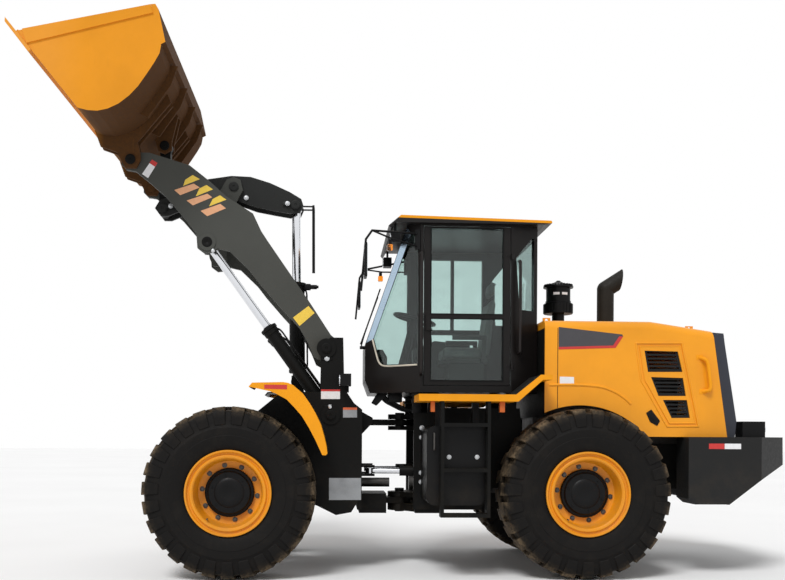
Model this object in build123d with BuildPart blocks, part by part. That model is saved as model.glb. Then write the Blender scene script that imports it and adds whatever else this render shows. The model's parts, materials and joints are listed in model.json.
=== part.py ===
from build123d import *
import math
import os

os.makedirs("parts", exist_ok=True)

# Articulated wheel loader, millimetres. +X points to the bucket, +Y to the operator's left,
# +Z up. Side views are drawn from the rear axle's centre line, with the ground at zero.
rear_axle_x = -1479.0
wheelbase = 3100.0
half_track = 925.0
pivot_x = 1560.0

# Wheels: 20.5-25 tyres on 17 inch wide rims.
tyre_radius = 746.0
tyre_half_width = 260.0
tread_half_width = 232.0
bead_radius = 320.0
rim_half_width = 216.0
flange_radius = 370.0
flange_width = 30.0
hub_radius = 215.0
spindle_radius = 70.0
spindle_reach = -95.0

# Working arm, at rest with the arm up and the bucket rolled back.
arm_pivot = (2276.0, 2040.0)
bucket_pivot = (4060.0, 3735.0)
rocker_pivot = (3172.0, 3612.0)
rocker_rear_eye = (2583.0, 3456.0)
rocker_front_eye = (3849.0, 3404.0)
link_bucket_eye = (3840.0, 4010.0)
lift_base = (2236.0, 1430.0)
lift_eye = (3372.0, 3005.0)
tilt_base = (2560.0, 1760.0)
cross_tube = (3400.0, 3250.0)
arm_inner = 480.0
arm_outer = 530.0
rocker_inner = 85.0
rocker_outer = 115.0
bracket_inner = 125.0
bracket_outer = 155.0
pin_radius = 40.0
running_gap = 0.05
side_gap = 5.0
seat_gap = 0.3

# Bucket
bucket_half_width = 1260.0
bucket_wall = 20.0
bucket_tip = (4860.0, 4592.0)

# Seats of the frames on the axles, and the drive shafts
front_seat = tyre_radius + 134.0
rear_seat = tyre_radius + 154.0
shaft_height = tyre_radius + 41.0
upper_hinge = 1370.0
lower_hinge = shaft_height - 167.0

# Steering cylinders
steer_base = (1100.0, 300.0)
steer_eye = (1860.0, 250.0)
steer_height = 910.0


def side(y, at=(0.0, 0.0)):
    """Side-view plane at lateral place y, drawn from a point of the side view; extrudes to -Y."""
    return Plane(origin=(rear_axle_x + at[0], y, at[1]), x_dir=(1, 0, 0), z_dir=(0, -1, 0))


def top(z):
    """Plan-view plane at height z, drawn from the rear axle; extrudes upwards."""
    return Plane(origin=(rear_axle_x, 0, z), x_dir=(1, 0, 0), z_dir=(0, 0, 1))


def along(start, end, y):
    """Plane at start with its normal towards end, both in the side view at lateral place y."""
    dx, dz = end[0] - start[0], end[1] - start[1]
    return Plane(origin=(rear_axle_x + start[0], y, start[1]), x_dir=(0, 1, 0), z_dir=(dx, 0, dz))


def band(points, thickness):
    """Outline of a bent sheet whose one face runs through the points, thickness to the left."""
    normals = []
    for a, b in zip(points, points[1:]):
        length = math.dist(a, b)
        normals.append(((a[1] - b[1]) / length, (b[0] - a[0]) / length))
    inner = []
    for i, p in enumerate(points):
        n0 = normals[max(i - 1, 0)]
        n1 = normals[min(i, len(normals) - 1)]
        k = thickness / (1 + n0[0] * n1[0] + n0[1] * n1[1])
        inner.append((p[0] + k * (n0[0] + n1[0]), p[1] + k * (n0[1] + n1[1])))
    return points + inner[::-1]


def slab(points, high, low, mode=Mode.ADD):
    """Adds a side-view outline as a plate between two lateral places."""
    corners = [side(high).from_local_coords(Vector(x, z, 0)) for x, z in points]
    add(Solid.extrude(Face(Wire.make_polygon(corners)), Vector(0, low - high, 0)), mode=mode)


def spread(hand, outer, inner):
    """Upper and lower lateral place of a piece on one side of the machine."""
    return (outer, inner) if hand > 0 else (-inner, -outer)


def rod_between(start, end, radius, mode=Mode.ADD):
    """Adds or removes a round bar between two points of side view x, lateral y and height z."""
    a = Vector(rear_axle_x + start[0], start[1], start[2])
    b = Vector(rear_axle_x + end[0], end[1], end[2])
    add(Solid.make_cylinder(radius, (b - a).length, Plane(origin=a, z_dir=b - a)), mode=mode)


def bent_rod(points, radius):
    """Adds a round bar through several points, with balls at its bends."""
    for start, end in zip(points, points[1:]):
        rod_between(start, end, radius)
    for x, y, z in points[1:-1]:
        with Locations((rear_axle_x + x, y, z)):
            Sphere(radius)


def block(x0, x1, y0, y1, z0, z1, mode=Mode.ADD):
    """Adds or removes a box between side-view lengths, lateral places and heights."""
    with Locations((rear_axle_x + (x0 + x1) / 2, (y0 + y1) / 2, (z0 + z1) / 2)):
        Box(abs(x1 - x0), abs(y1 - y0), abs(z1 - z0), mode=mode)


def cross_pin(at, radius, high, low, mode=Mode.ADD):
    """Adds or removes a cylinder across the machine at a side-view point."""
    add(Solid.make_cylinder(radius, high - low, side(high, at)), mode=mode)


def save(part, name):
    part.label = name
    export_step(part, f"parts/{name}.step")


# Tyres and wheels
wheels = [
    # name, side view x, lateral side
    ("front_left", wheelbase, 1),
    ("front_right", wheelbase, -1),
    ("rear_left", 0.0, 1),
    ("rear_right", 0.0, -1),
]
lug_height = 32.0
lug_count = 20
lug_length = 118.0
carcass_radius = tyre_radius - lug_height
shoulder_radius = carcass_radius - 46.0
belly_radius = 500.0
dish_inner = 60.0
dish_outer = 90.0
hub_inner = -210.0
hub_outer = 150.0
cap_radius = 150.0
rim_rings = [
    # lateral place from the wheel's centre, corner radius
    (rim_half_width - seat_gap, flange_radius + 8),
    (tyre_half_width, belly_radius),
    (tyre_half_width - 6, shoulder_radius),
    (tread_half_width, carcass_radius),
]
rings = [(-y, r) for y, r in rim_rings] + [(y, r) for y, r in reversed(rim_rings)]
lug_line = [
    # lateral place, radius
    (22, carcass_radius - 14),
    (22, tyre_radius),
    (tread_half_width - 20, tyre_radius),
    (tyre_half_width, shoulder_radius + 6),
    (tyre_half_width - 24, shoulder_radius + 2),
]
across = Plane(origin=(0, 0, 0), x_dir=(1, 0, 0), z_dir=(0, 1, 0))
with BuildPart() as tyre_form:
    for y, r in rings:
        with BuildSketch(across.offset(y)):
            RegularPolygon(r, lug_count)
    loft(ruled=True)
    with BuildSketch(across.offset(-rim_half_width)):
        RegularPolygon(bead_radius / math.cos(math.pi / lug_count), lug_count)
    extrude(amount=2 * rim_half_width, mode=Mode.SUBTRACT)
    for hand, phase in ((1, 0.0), (-1, 0.5)):
        for i in range(lug_count):
            turn = (i + phase + 0.5) * 360 / lug_count
            radial = Plane(origin=(0, 0, 0), x_dir=(0, hand, 0), z_dir=(1, 0, 0)).rotated((0, turn, 0))
            corners = [Vector(*radial.from_local_coords(Vector(y, z, -lug_length / 2))) for y, z in lug_line]
            add(Solid.extrude(Face(Wire.make_polygon(corners)), radial.z_dir * lug_length))
for name, wheel_x, hand in wheels:
    centre = Plane(
        origin=(rear_axle_x + wheel_x, hand * half_track, tyre_radius), x_dir=(0, hand, 0), z_dir=(1, 0, 0)
    )
    axis = Axis((rear_axle_x + wheel_x, 0, tyre_radius), (0, 1, 0))
    with BuildPart() as tyre:
        add(tyre_form.part.moved(Location((rear_axle_x + wheel_x, hand * half_track, tyre_radius))))
    save(tyre.part, f"tyre_{name}")
    with BuildPart() as rim:
        with BuildSketch(centre):
            Polygon(
                (-rim_half_width - flange_width, bead_radius - 20),
                (dish_inner, bead_radius - 20),
                (dish_inner, hub_radius),
                (hub_inner, hub_radius - 30),
                (hub_inner, spindle_radius + running_gap),
                (spindle_reach, spindle_radius + running_gap),
                (spindle_reach, 0),
                (hub_outer, 0),
                (hub_outer, cap_radius),
                (dish_outer + 15, hub_radius),
                (dish_outer, hub_radius),
                (dish_outer, bead_radius - 20),
                (rim_half_width - 20, bead_radius - 15),
                (rim_half_width + flange_width, bead_radius + 10),
                (rim_half_width + flange_width, flange_radius),
                (rim_half_width, flange_radius),
                (rim_half_width, bead_radius - seat_gap),
                (-rim_half_width, bead_radius - seat_gap),
                (-rim_half_width, flange_radius),
                (-rim_half_width - flange_width, flange_radius),
                align=None,
            )
        revolve(axis=axis)
    save(rim.part, f"wheel_{name}")

inner_low, inner_high = 260.0, 290.0
outer_low, outer_high = 545.0, 585.0
# Axles: banjo housing with seats for the frame
axle_radius = 120.0
axle_end = half_track + hub_inner - side_gap
pad_half = 110.0
for name, axle_x, pad_top, pads in [
    ("front_axle", wheelbase, front_seat, [(inner_low, inner_high), (outer_low, outer_high)]),
    ("rear_axle", 0.0, rear_seat, [(425.0, 475.0)]),
]:
    with BuildPart() as axle:
        with BuildSketch(side(axle_end, (axle_x, tyre_radius))):
            Circle(axle_radius)
        extrude(amount=2 * axle_end)
        spindle_end = half_track + spindle_reach - side_gap
        cross_pin((axle_x, tyre_radius), spindle_radius, spindle_end, -spindle_end)
        with Locations((rear_axle_x + axle_x, 0, tyre_radius)):
            Sphere(240)
        for low, high in pads:
            for y0, y1 in ((low, high), (-high, -low)):
                block(axle_x - pad_half, axle_x + pad_half, y0, y1, tyre_radius, pad_top - seat_gap)
    save(axle.part, name)

# Front frame: two pairs of tower plates, cross walls and the tongues of the articulation
tower_outline = [
    (2330, 1700), (2324, 2060), (2240, 2138), (2122, 2138), (2112, 1760), (2103, 1664), (2020, 1540),
    (1945, 1480), (1945, 697), (2040, 540), (2180, 514), (2354, 600), (2640, 700),
    (wheelbase - 230, front_seat), (wheelbase + 200, front_seat), (wheelbase + 240, front_seat + 40),
    (wheelbase + 240, 1080), (2900, 1200), (2560, 1330),
]
outer_outline = tower_outline[:-3] + [
    (wheelbase + 240, 1080), (wheelbase - 190, 1200), (wheelbase - 195, 1455), (wheelbase - 360, 1590),
    (wheelbase - 500, 1640), (2330, 1640),
]
frame_pin = 45.0
with BuildPart() as front_frame:
    for outline, low, high in [(outer_outline, outer_low, outer_high),
                               (tower_outline, inner_low, inner_high)]:
        slab(outline, high, low)
        slab(outline, -low, -high)
    # Housings of the upper and the lower hinge
    slab([(1950, 1478), (1832, 1412), (1832, 1366), (1950, 1240)], 190, -190)
    block(1700, 1960, -240, 240, lower_hinge - 115, lower_hinge + 70)
    block(1945, 1985, -outer_low, outer_low, 560, 1440)
    with BuildSketch(side(outer_low)):
        Polygon(*band([(2040, 552), (2180, 526), (2354, 612), (2600, 690)], 20), align=None)
    extrude(amount=2 * outer_low)
    block(wheelbase + 190, wheelbase + 220, -inner_low, inner_low, front_seat + 20, 1080)
    block(2200, 2240, -inner_low, inner_low, 1560, 2000)
    # Drive shaft's way through the rear wall
    with Locations(Location((rear_axle_x + 1965, 0, shaft_height), (0, 90, 0))):
        Cylinder(90, 60, mode=Mode.SUBTRACT)
    for height, thick in [(upper_hinge, 56.0), (lower_hinge, 56.0)]:
        with BuildSketch(top(height - thick / 2)):
            with Locations((pivot_x, 0)):
                Circle(110)
            Polygon((pivot_x, 110), (1950, 190), (1950, -190), (pivot_x, -110), align=None)
        extrude(amount=thick)
    for low, high in [(upper_hinge - 73, upper_hinge + 96), (lower_hinge - 115, lower_hinge + 111)]:
        with BuildSketch(top(low)):
            with Locations((pivot_x, 0)):
                Circle(frame_pin)
        extrude(amount=high - low)
    # Eyes of the steering cylinders
    for y in (steer_eye[1], -steer_eye[1]):
        block(steer_eye[0] - 45, 1950, y - 40, y + 40, steer_height + 32, steer_height + 52)
        block(steer_eye[0] - 45, 1950, y - 40, y + 40, steer_height - 52, steer_height - 32)
    # Pins of the arm and of the lift cylinders
    for hand in (1, -1):
        high = max(hand * (inner_low - 8), hand * (outer_high + 12))
        low = min(hand * (inner_low - 8), hand * (outer_high + 12))
        cross_pin(arm_pivot, pin_radius, high, low)
        cross_pin(lift_base, pin_radius, high, low)
    for hand in (1, -1):
        for at in (arm_pivot, lift_base):
            cross_pin(at, 88, *spread(hand, outer_high + 14, outer_high - 1))
            cross_pin(at, pin_radius, *spread(hand, outer_high + 24, outer_high - 1))
    # Seat of the tilt cylinder
    block(tilt_base[0] - 60, tilt_base[0] + 55, -90, -55, 1240, tilt_base[1] + 55)
    block(tilt_base[0] - 60, tilt_base[0] + 55, 55, 90, 1240, tilt_base[1] + 55)
    block(2440, 2700, -inner_low, inner_low, 1215, 1245)
    cross_pin(tilt_base, pin_radius, 95, -95)
save(front_frame.part, "front_frame")

# Front fenders
fender_edge = [
    # along the top from the front, from the wheel's centre
    (-172, 909), (-201, 943), (-463, 950), (-505, 944), (-548, 925), (-632, 853), (-683, 781), (-734, 697),
    (-784, 595), (-814, 493), (-838, 391), (-843, 345), (-829, 328),
]
skirt_edge = [
    # back along the lower edge, from the wheel's centre
    (-799, 331), (-740, 459), (-686, 561), (-624, 662), (-561, 734), (-495, 802), (-406, 850), (-350, 872),
    (-286, 885),
]
web_edge = [(-400, 945), (-530, 930), (-626, 848), (-714, 712), (-670, 690), (-560, 810), (-460, 880)]
fender_line, skirt_line, web_line = (
    [(wheelbase + x, tyre_radius + z) for x, z in edge] for edge in (fender_edge, skirt_edge, web_edge)
)
fender_sheet = 12.0
fender_inner, fender_outer = 690.0, 1185.0
with BuildPart() as fenders:
    for hand in (1, -1):
        slab(band(fender_line, fender_sheet), *spread(hand, fender_outer, fender_inner))
        slab(fender_line + skirt_line, *spread(hand, fender_outer, fender_outer - fender_sheet))
        slab(web_line, *spread(hand, 1100, outer_high + seat_gap))
save(fenders.part, "front_fenders")

# Rear frame
rear_plate = [
    (1461, 1459), (1461, lower_hinge - 63), (830, lower_hinge - 63), (720, 760), (200, 760), (180, rear_seat),
    (-180, rear_seat), (-200, 760), (-1290, 760), (-1290, 1180), (430, 1180), (470, 1505), (1193, 1505),
    (1230, 1459),
]
with BuildPart() as rear_frame:
    for high, low in [(475, 425), (-425, -475)]:
        slab(rear_plate, high, low)
    for x in (-1290, -300, 1100):
        block(x, x + 30, -425, 425, 780, 1160)
    block(1090, 1140, -400, 400, steer_height - 90, steer_height + 90, mode=Mode.SUBTRACT)
    for hand in (1, -1):
        for x, z in ((1230, 1459), (500, 1180)):
            block(x, x + 100, min(hand * 425, hand * 475), max(hand * 425, hand * 475), z, 1639.7)
    hinge_plates = [
        (upper_hinge - 73, upper_hinge - 33),
        (upper_hinge + 33, upper_hinge + 80),
        (lower_hinge - 100, lower_hinge - 33),
        (lower_hinge + 33, lower_hinge + 80),
    ]
    for low, high in hinge_plates:
        with BuildSketch(top(low)):
            with Locations((pivot_x, 0)):
                Circle(115)
            Polygon((pivot_x, 115), (1440, 260), (1440, 425), (1200, 425), (1200, -425), (1440, -425),
                    (1440, -260), (pivot_x, -115), align=None)
        extrude(amount=high - low)
        with BuildSketch(top(low)):
            with Locations((pivot_x, 0)):
                Circle(frame_pin + running_gap)
        extrude(amount=high - low, mode=Mode.SUBTRACT)
    # Drive shaft's way through the cross wall
    with Locations(Location((rear_axle_x + 1115, 0, shaft_height), (0, 90, 0))):
        Cylinder(90, 60, mode=Mode.SUBTRACT)
    for y in (steer_base[1], -steer_base[1]):
        low, high = (y - 60, y + 125) if y > 0 else (y - 125, y + 60)
        block(1040, 1135, low, high, steer_height + 36, steer_height + 56)
        block(1040, 1135, low, high, steer_height - 56, steer_height - 36)
        with BuildSketch(top(steer_height - 60)):
            with Locations((steer_base[0], y)):
                Circle(25)
        extrude(amount=120)
save(rear_frame.part, "rear_frame")

# Counterweight, with a tow jaw for a 50 mm pin
jaw_bottom = 990.0
jaw_slot_low, jaw_slot_high = 1060.0, 1140.0
tow_pin_x = -1920.0
tow_bore_radius = 26.0
with BuildPart() as counterweight:
    slab([(-1290.3, 1248), (-1990, 1248), (-1996, 992), (-1600, 868), (-1310, 648), (-1290.3, 648)], 1000,
         -1000)
    for hand in (1, -1):
        slab([(-1300, 1248), (-940, 1248), (-940, 700), (-1000, 650), (-1300, 650)],
             1000 if hand > 0 else -700, 700 if hand > 0 else -1000)
    # Vertical tow pin bore through the tow jaw
    block(-2010, -1850, -120, 120, 800, jaw_bottom, mode=Mode.SUBTRACT)
    block(-2010, -1850, -120, 120, jaw_slot_low, jaw_slot_high, mode=Mode.SUBTRACT)
    with BuildSketch(top(jaw_bottom - 10)):
        with Locations((tow_pin_x, 0)):
            Circle(tow_bore_radius)
    extrude(amount=400, mode=Mode.SUBTRACT)
    for hand in (1, -1):
        with BuildSketch(top(600)):
            Polygon((-2010, hand * 560), (-1590, hand * 1010), (-2010, hand * 1010), align=None)
        extrude(amount=700, mode=Mode.SUBTRACT)
save(counterweight.part, "counterweight")

# Engine, as one plain block
with BuildPart() as engine:
    block(-1080, 150, -330, 330, 1160.3, 1900)
    block(140, 300, -250, 250, 1160.3, 1500)
    block(290, 1000, -250, 250, 700, 1280)
save(engine.part, "engine_block")

# Hood: a hollow shell open below, with louvred windows in a pressed panel on each side
hood_front, hood_top = 325.0, 2287.0
hood_tail_x, hood_tail_z = -645.0, 2287.0
hood_half_width = 880.0
hood_bottom = 1248.3
sheet = 12.0
arch_radius = tyre_radius + 34.0
hood_round = 70.0
louvre_pitch = 34.0
hood_windows = [
    # corners of one window, clockwise from the front top
    [(-576, 2021), (-881, 2015), (-924, 1832), (-609, 1829)],
    [(-637, 1784), (-929, 1778), (-957, 1616), (-706, 1614)],
    [(-747, 1579), (-966, 1580), (-995, 1419), (-826, 1417)],
]
panel_edge = [(-498, 2088), (-918, 2092), (-1073, 1343), (-785, 1341), (-546, 1756)]
panel_field = [(-535, 2058), (-899, 2062), (-1041, 1372), (-806, 1370), (-582, 1760)]
mesh_edge = [(-550, 2044), (-893, 2044), (-1022, 1395), (-812, 1393), (-596, 1765)]
mesh_sheet = 4.0
hood_form = [
    # outline x, outline z, step inwards x, step inwards z
    (hood_front, 1200, -sheet, -200),
    (hood_front, hood_top, -sheet, -sheet),
    (hood_tail_x, hood_tail_z, 0, -sheet),
    (-1201, 2205, sheet, -sheet),
    (-1342.5, 1200, sheet, -200),
]


def hood_prism(half_width, radius, step):
    """Rounded prism of the hood, moved inwards when step is one."""
    with BuildPart() as prism:
        slab([(x + step * dx, z + step * dz) for x, z, dx, dz in hood_form], half_width, -half_width)
        upper = prism.edges().filter_by(lambda e: abs(e.tangent_at(0.5).X) > 0.9 and e.center().Z > 2100)
        fillet(upper, radius)
    return prism.part


hood_shape = hood_prism(hood_half_width, hood_round, 0)
hood_space = hood_prism(hood_half_width - sheet, hood_round - sheet, 1)
with BuildPart() as hood:
    add(hood_shape)
    add(hood_space, mode=Mode.SUBTRACT)
    block(-1400, 400, -1000, 1000, 900, hood_bottom, mode=Mode.SUBTRACT)
    cross_pin((0, tyre_radius), arch_radius, 1000, -1000, mode=Mode.SUBTRACT)
    block(206, 212, -900, -hood_half_width + 3, 1500, 2200, mode=Mode.SUBTRACT)
    block(206, 212, hood_half_width - 3, 900, 1500, 2200, mode=Mode.SUBTRACT)
    for hand in (1, -1):
        slab(panel_edge, *spread(hand, hood_half_width + 1, hood_half_width - 5), mode=Mode.SUBTRACT)
        slab(panel_field, *spread(hand, hood_half_width, hood_half_width - 6))
        for corners in hood_windows:
            slab(corners, *spread(hand, hood_half_width + 5, hood_half_width - sheet - 5), mode=Mode.SUBTRACT)
        for x, z in ((255, 2280), (-1078, 2218)):
            with Locations((rear_axle_x + x, hand * 620, z + 25)):
                Box(70, 14, 60)
            cross_pin((x, z + 34), 14, hand * 620 + 10, hand * 620 - 10, mode=Mode.SUBTRACT)
save(hood.part, "hood")
# Slotted sheets behind the hood's windows
with BuildPart() as hood_mesh:
    for hand in (1, -1):
        face = hood_half_width - sheet - seat_gap
        slab(mesh_edge, *spread(hand, face, face - mesh_sheet))
        for (x0, z0), (x1, z1), (x2, z2), (x3, z3) in hood_windows:
            z = z2 + louvre_pitch
            while z < z1 - 12:
                k = (z - z2) / (z1 - z2)
                block(x2 + (x1 - x2) * k + 20, x3 + (x0 - x3) * k - 20,
                      *spread(hand, face + 1, face - mesh_sheet - 1),
                      z - 9, z + 9, mode=Mode.SUBTRACT)
                z += louvre_pitch
save(hood_mesh.part, "hood_mesh")

# Rear grille: a frame with bars across
grille_half_width = 800.0
grille_bar_pitch = 95.0
with BuildPart() as grille:
    slab([(-1202.3, 2200), (-1330, 2190), (-1345, 2080), (-1455, 1390), (-1440, 1248.3), (-1336.3, 1248.3)],
         grille_half_width, -grille_half_width)
    slab([(-1380, 2120), (-1310, 2120), (-1400, 1320), (-1480, 1320)], 700, -700, mode=Mode.SUBTRACT)
    height = 1400.0
    while height < 2100:
        x = -1444 + (height - 1390) * 99 / 690
        block(x, x + 60, -705, 705, height - 14, height + 14)
        height += grille_bar_pitch
    for y in (-350, 350):
        slab([(-1336, 2130), (-1310, 2130), (-1425, 1310), (-1450, 1310)], y + 15, y - 15)
save(grille.part, "rear_grille")

# Exhaust stack with its bent tip, and air intake with its pre-cleaner
exhaust_at = (-471.0, 0.0)
exhaust_radius = 82.0
exhaust_wall = 7.0
exhaust_bend = 2700.0
exhaust_slope = (-252.0, 162.0)
with BuildPart() as exhaust:
    with BuildSketch(top(hood_top + seat_gap)):
        with Locations(exhaust_at):
            Circle(exhaust_radius + 25)
    extrude(amount=20)
    tip = (exhaust_at[0] + exhaust_slope[0], 0, exhaust_bend + exhaust_slope[1])
    bent_rod([(*exhaust_at, hood_top + 10), (*exhaust_at, exhaust_bend), tip], exhaust_radius)
    # Mouth cut upright and hollow
    mouth = exhaust_at[0] - exhaust_radius - 46
    slab([(mouth - 45, 3000), (mouth, 2600), (mouth - 300, 2600), (mouth - 300, 3000)], 150, -150,
         mode=Mode.SUBTRACT)
    inner = (exhaust_at[0] + 0.25 * exhaust_slope[0], 0, exhaust_bend + 0.25 * exhaust_slope[1])
    rod_between(inner, (tip[0] - 100, 0, tip[2] + 64), exhaust_radius - exhaust_wall, mode=Mode.SUBTRACT)
save(exhaust.part, "exhaust_stack")
intake_steps = [
    # bottom, top, radius below, radius above
    (hood_top + seat_gap, 2455, 60, 60),
    (2450, 2549, 140, 140),
    (2549, 2706, 118, 118),
    (2706, 2722, 146, 146),
    (2722, 2767, 130, 30),
]
with BuildPart() as intake:
    for low, high, wide, narrow in intake_steps:
        with Locations((rear_axle_x, 0, (low + high) / 2)):
            Cone(wide, narrow, high - low) if wide != narrow else Cylinder(wide, high - low)
save(intake.part, "air_intake")

# Fuel and oil tanks with their ladders, and the platforms over them
tank_rear, tank_front = 885.0, 1395.0
tank_inner, tank_outer = 475.0 + seat_gap, 1050.0
tank_low, tank_high = 640.0, 1330.0
platform_top, platform_low = 1605.0, 1545.0
platform_inner, platform_outer = 700.0, 1190.0
with BuildPart() as tanks:
    for hand in (1, -1):
        high, low = spread(hand, tank_outer, tank_inner)
        with BuildSketch(side(high)):
            with Locations(((tank_rear + tank_front) / 2, (tank_low + tank_high) / 2)):
                RectangleRounded(tank_front - tank_rear, tank_high - tank_low, 70)
        extrude(amount=high - low)
        high, low = spread(hand, 800, 740)
        for x in (900, 1240):
            block(x, x + 60, low, high, tank_high - 75, platform_low - seat_gap)
save(tanks.part, "side_tanks")
ladder_low, ladder_high = 545.0, platform_low - seat_gap
ladder_rear, ladder_front = 870.0, 1270.0
ladder_rail = 28.0
step_heights = [545.0, 935.0, 1325.0]
with BuildPart() as ladders:
    for hand in (1, -1):
        high, low = spread(hand, 1180, tank_outer + seat_gap)
        for x in (ladder_rear, ladder_front):
            block(x - ladder_rail / 2, x + ladder_rail / 2, low, high, ladder_low, ladder_high)
            block(x - ladder_rail / 2 - 1, x + ladder_rail / 2 + 1, *spread(hand, 1140, tank_outer + 40),
                  ladder_low + 60, ladder_high - 240, mode=Mode.SUBTRACT)
        for z in step_heights:
            block(ladder_rear, ladder_front, low, high, z, z + 32)
            block(ladder_rear + 30, ladder_front - 30, *spread(hand, 1150, tank_outer + 35), z + 8, z + 40,
                  mode=Mode.SUBTRACT)
save(ladders.part, "ladders")
with BuildPart() as platforms:
    for hand in (1, -1):
        high, low = spread(hand, platform_outer, platform_inner)
        slab([(1478, platform_low), (1478, platform_top), (640, platform_top), (427, 1777), (325.3, 1777),
              (325.3, 1735), (405, 1735), (620, platform_low)], high, low)
save(platforms.part, "platforms")

# Cab: hollow shell with window cuts; the plan narrows towards the nose
cab_floor, cab_top = 1640.0, 3165.0
cab_wall = 40.0
cab_plan = [
    # x, half width, inner x, inner half width
    (340, 610, 340 + cab_wall, 580),
    (590, 700, 600, 660),
    (1425, 700, 1413, 660),
    (1915, 370, 1875, 350),
]
shield_foot, shield_head = (1915.0, 2100.0), (1544.0, cab_top)
nose_height, nose_cut = 1767.0, 48.0
door_rear, door_front = 600.0, 1400.0
door_low, door_high = 1700.0, 3150.0
door_gap = 6.0
hinge_heights = (1850, 2850)
pane = 6.0
pane_gap = 0.3
side_windows = [
    # name, corners of the opening in the side view
    ("front", [(1445, 1900), (1770, 1900), (1835, 2150), (1502, 3090), (1445, 3090)]),
    ("rear", [(372, 2392), (515, 2402), (550, 2870), (395, 3063), (372, 3063)]),
]
right_windows = [
    ("upper_front", [(980, 2352), (1320, 2352), (1320, 3090), (980, 3090)]),
    ("upper_rear", [(650, 2352), (950, 2352), (950, 3090), (650, 3090)]),
    ("lower", [(650, 1755), (1320, 1755), (1320, 2305), (650, 2305)]),
]
shield_half_width = 325.0
shield_low, shield_high = 0.04, 0.94
rear_window = (500.0, 2400.0, 3063.0)


def cab_prism(columns, low, high, step):
    """Prism over the cab's plan, cut by the windscreen's slope moved back by step."""
    with BuildPart() as prism:
        rows = [(row[columns[0]], row[columns[1]]) for row in cab_plan]
        with BuildSketch(top(low)):
            Polygon(*rows, *[(x, -y) for x, y in reversed(rows)], align=None)
        extrude(amount=high - low)
        slab([(shield_foot[0] + 1 - step, nose_height), (shield_foot[0] - nose_cut - step, cab_floor - 1),
              (2200, cab_floor - 1), (2200, nose_height)], 900, -900, mode=Mode.SUBTRACT)
        slab([(shield_foot[0] - step, shield_foot[1]), (shield_head[0] - step, cab_top + 1),
              (2200, cab_top + 1),
              (2200, shield_foot[1])], 900, -900, mode=Mode.SUBTRACT)
    return prism.part


def inset(points, gap):
    """Outline moved inwards all round by the gap."""
    turn = sum(a[0] * b[1] - b[0] * a[1] for a, b in zip(points, points[1:] + points[:1]))
    closed = points if turn > 0 else points[::-1]
    loop = band(closed[-1:] + closed + closed[:1], gap)
    count = len(closed) + 2
    return loop[count:][::-1][1:-1]


def on_slope(share):
    """Point of the windscreen's outer face, from its foot to its head."""
    return (shield_foot[0] + share * (shield_head[0] - shield_foot[0]),
            shield_foot[1] + share * (shield_head[1] - shield_foot[1]))


shield_outer = [on_slope(shield_low), on_slope(shield_high)]
cab_form = cab_prism((0, 1), cab_floor, cab_top, 0)
cab_space = cab_prism((2, 3), cab_floor + cab_wall, cab_top + 1, 44)
with BuildPart() as cab:
    add(cab_form)
    add(cab_space, mode=Mode.SUBTRACT)
    for name, corners in side_windows:
        slab(corners, 900, -900, mode=Mode.SUBTRACT)
    for name, corners in right_windows:
        slab(corners, -600, -750, mode=Mode.SUBTRACT)
    slab([(door_front, door_low), (door_front, door_high), (door_rear, door_high), (door_rear, door_low)],
         801, 650,
         mode=Mode.SUBTRACT)
    shield_front = [(p[0] + 60, p[1] + 21) for p in shield_outer]
    shield_back = [(p[0] - 90, p[1] - 32) for p in reversed(shield_outer)]
    slab(shield_front + shield_back, shield_half_width, -shield_half_width, mode=Mode.SUBTRACT)
    block(300, 400, -rear_window[0], rear_window[0], rear_window[1], rear_window[2], mode=Mode.SUBTRACT)
    # Hinge knuckles of the door
    for z in hinge_heights:
        with BuildSketch(top(z)):
            with Locations((590, 715)):
                Circle(14)
            Polygon((576, 690), (604, 690), (604, 715), (576, 715), align=None)
            with Locations((590, 715)):
                Circle(8 + running_gap, mode=Mode.SUBTRACT)
        extrude(amount=30)
save(cab.part, "cab_shell")
# Panes lie in the middle of the walls
side_panes = []
for name, corners in side_windows:
    i = 2 if name == "front" else 0
    (x0, y0, u0, v0), (x1, y1, u1, v1) = cab_plan[i], cab_plan[i + 1]
    ends = [((x0 + u0) / 2, (y0 + v0) / 2), ((x1 + u1) / 2, (y1 + v1) / 2)]
    for hand in (1, -1):
        with BuildPart() as side_pane:
            with BuildSketch(top(cab_floor)):
                Polygon(*band([(x, hand * y) for x, y in ends], -hand * pane), align=None)
            extrude(amount=cab_top - cab_floor)
            slab(inset(corners, pane_gap), 900, -900, mode=Mode.INTERSECT)
        side_panes.append(side_pane.part)
with BuildPart() as panes:
    for side_pane in side_panes:
        add(side_pane)
    for name, corners in right_windows:
        slab(inset(corners, pane_gap), -677, -677 - pane)
    ends = [(p[0] - 20.8, p[1] - 7.2) for p in (on_slope(shield_low + 0.001), on_slope(shield_high - 0.001))]
    slab(band(ends, pane), shield_half_width - pane_gap, pane_gap - shield_half_width)
    block(360, 360 + pane, pane_gap - rear_window[0], rear_window[0] - pane_gap, rear_window[1] + pane_gap,
          rear_window[2] - pane_gap)
save(panes.part, "cab_glass")
roof_half_width = 760.0
with BuildPart() as roof:
    slab([(1610, 3231), (244, 3200), (236, 3180), (300, cab_top + seat_gap), (1668, cab_top + seat_gap),
          (1700, 3110), (1722, 3134)],
         roof_half_width, -roof_half_width)
save(roof.part, "cab_roof")
door_windows = [
    # low, high, rear, front
    (2352.0, 3128.0, 672.0, 1330.0),
    (1748.0, 2308.0, 672.0, 1330.0),
]
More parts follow.
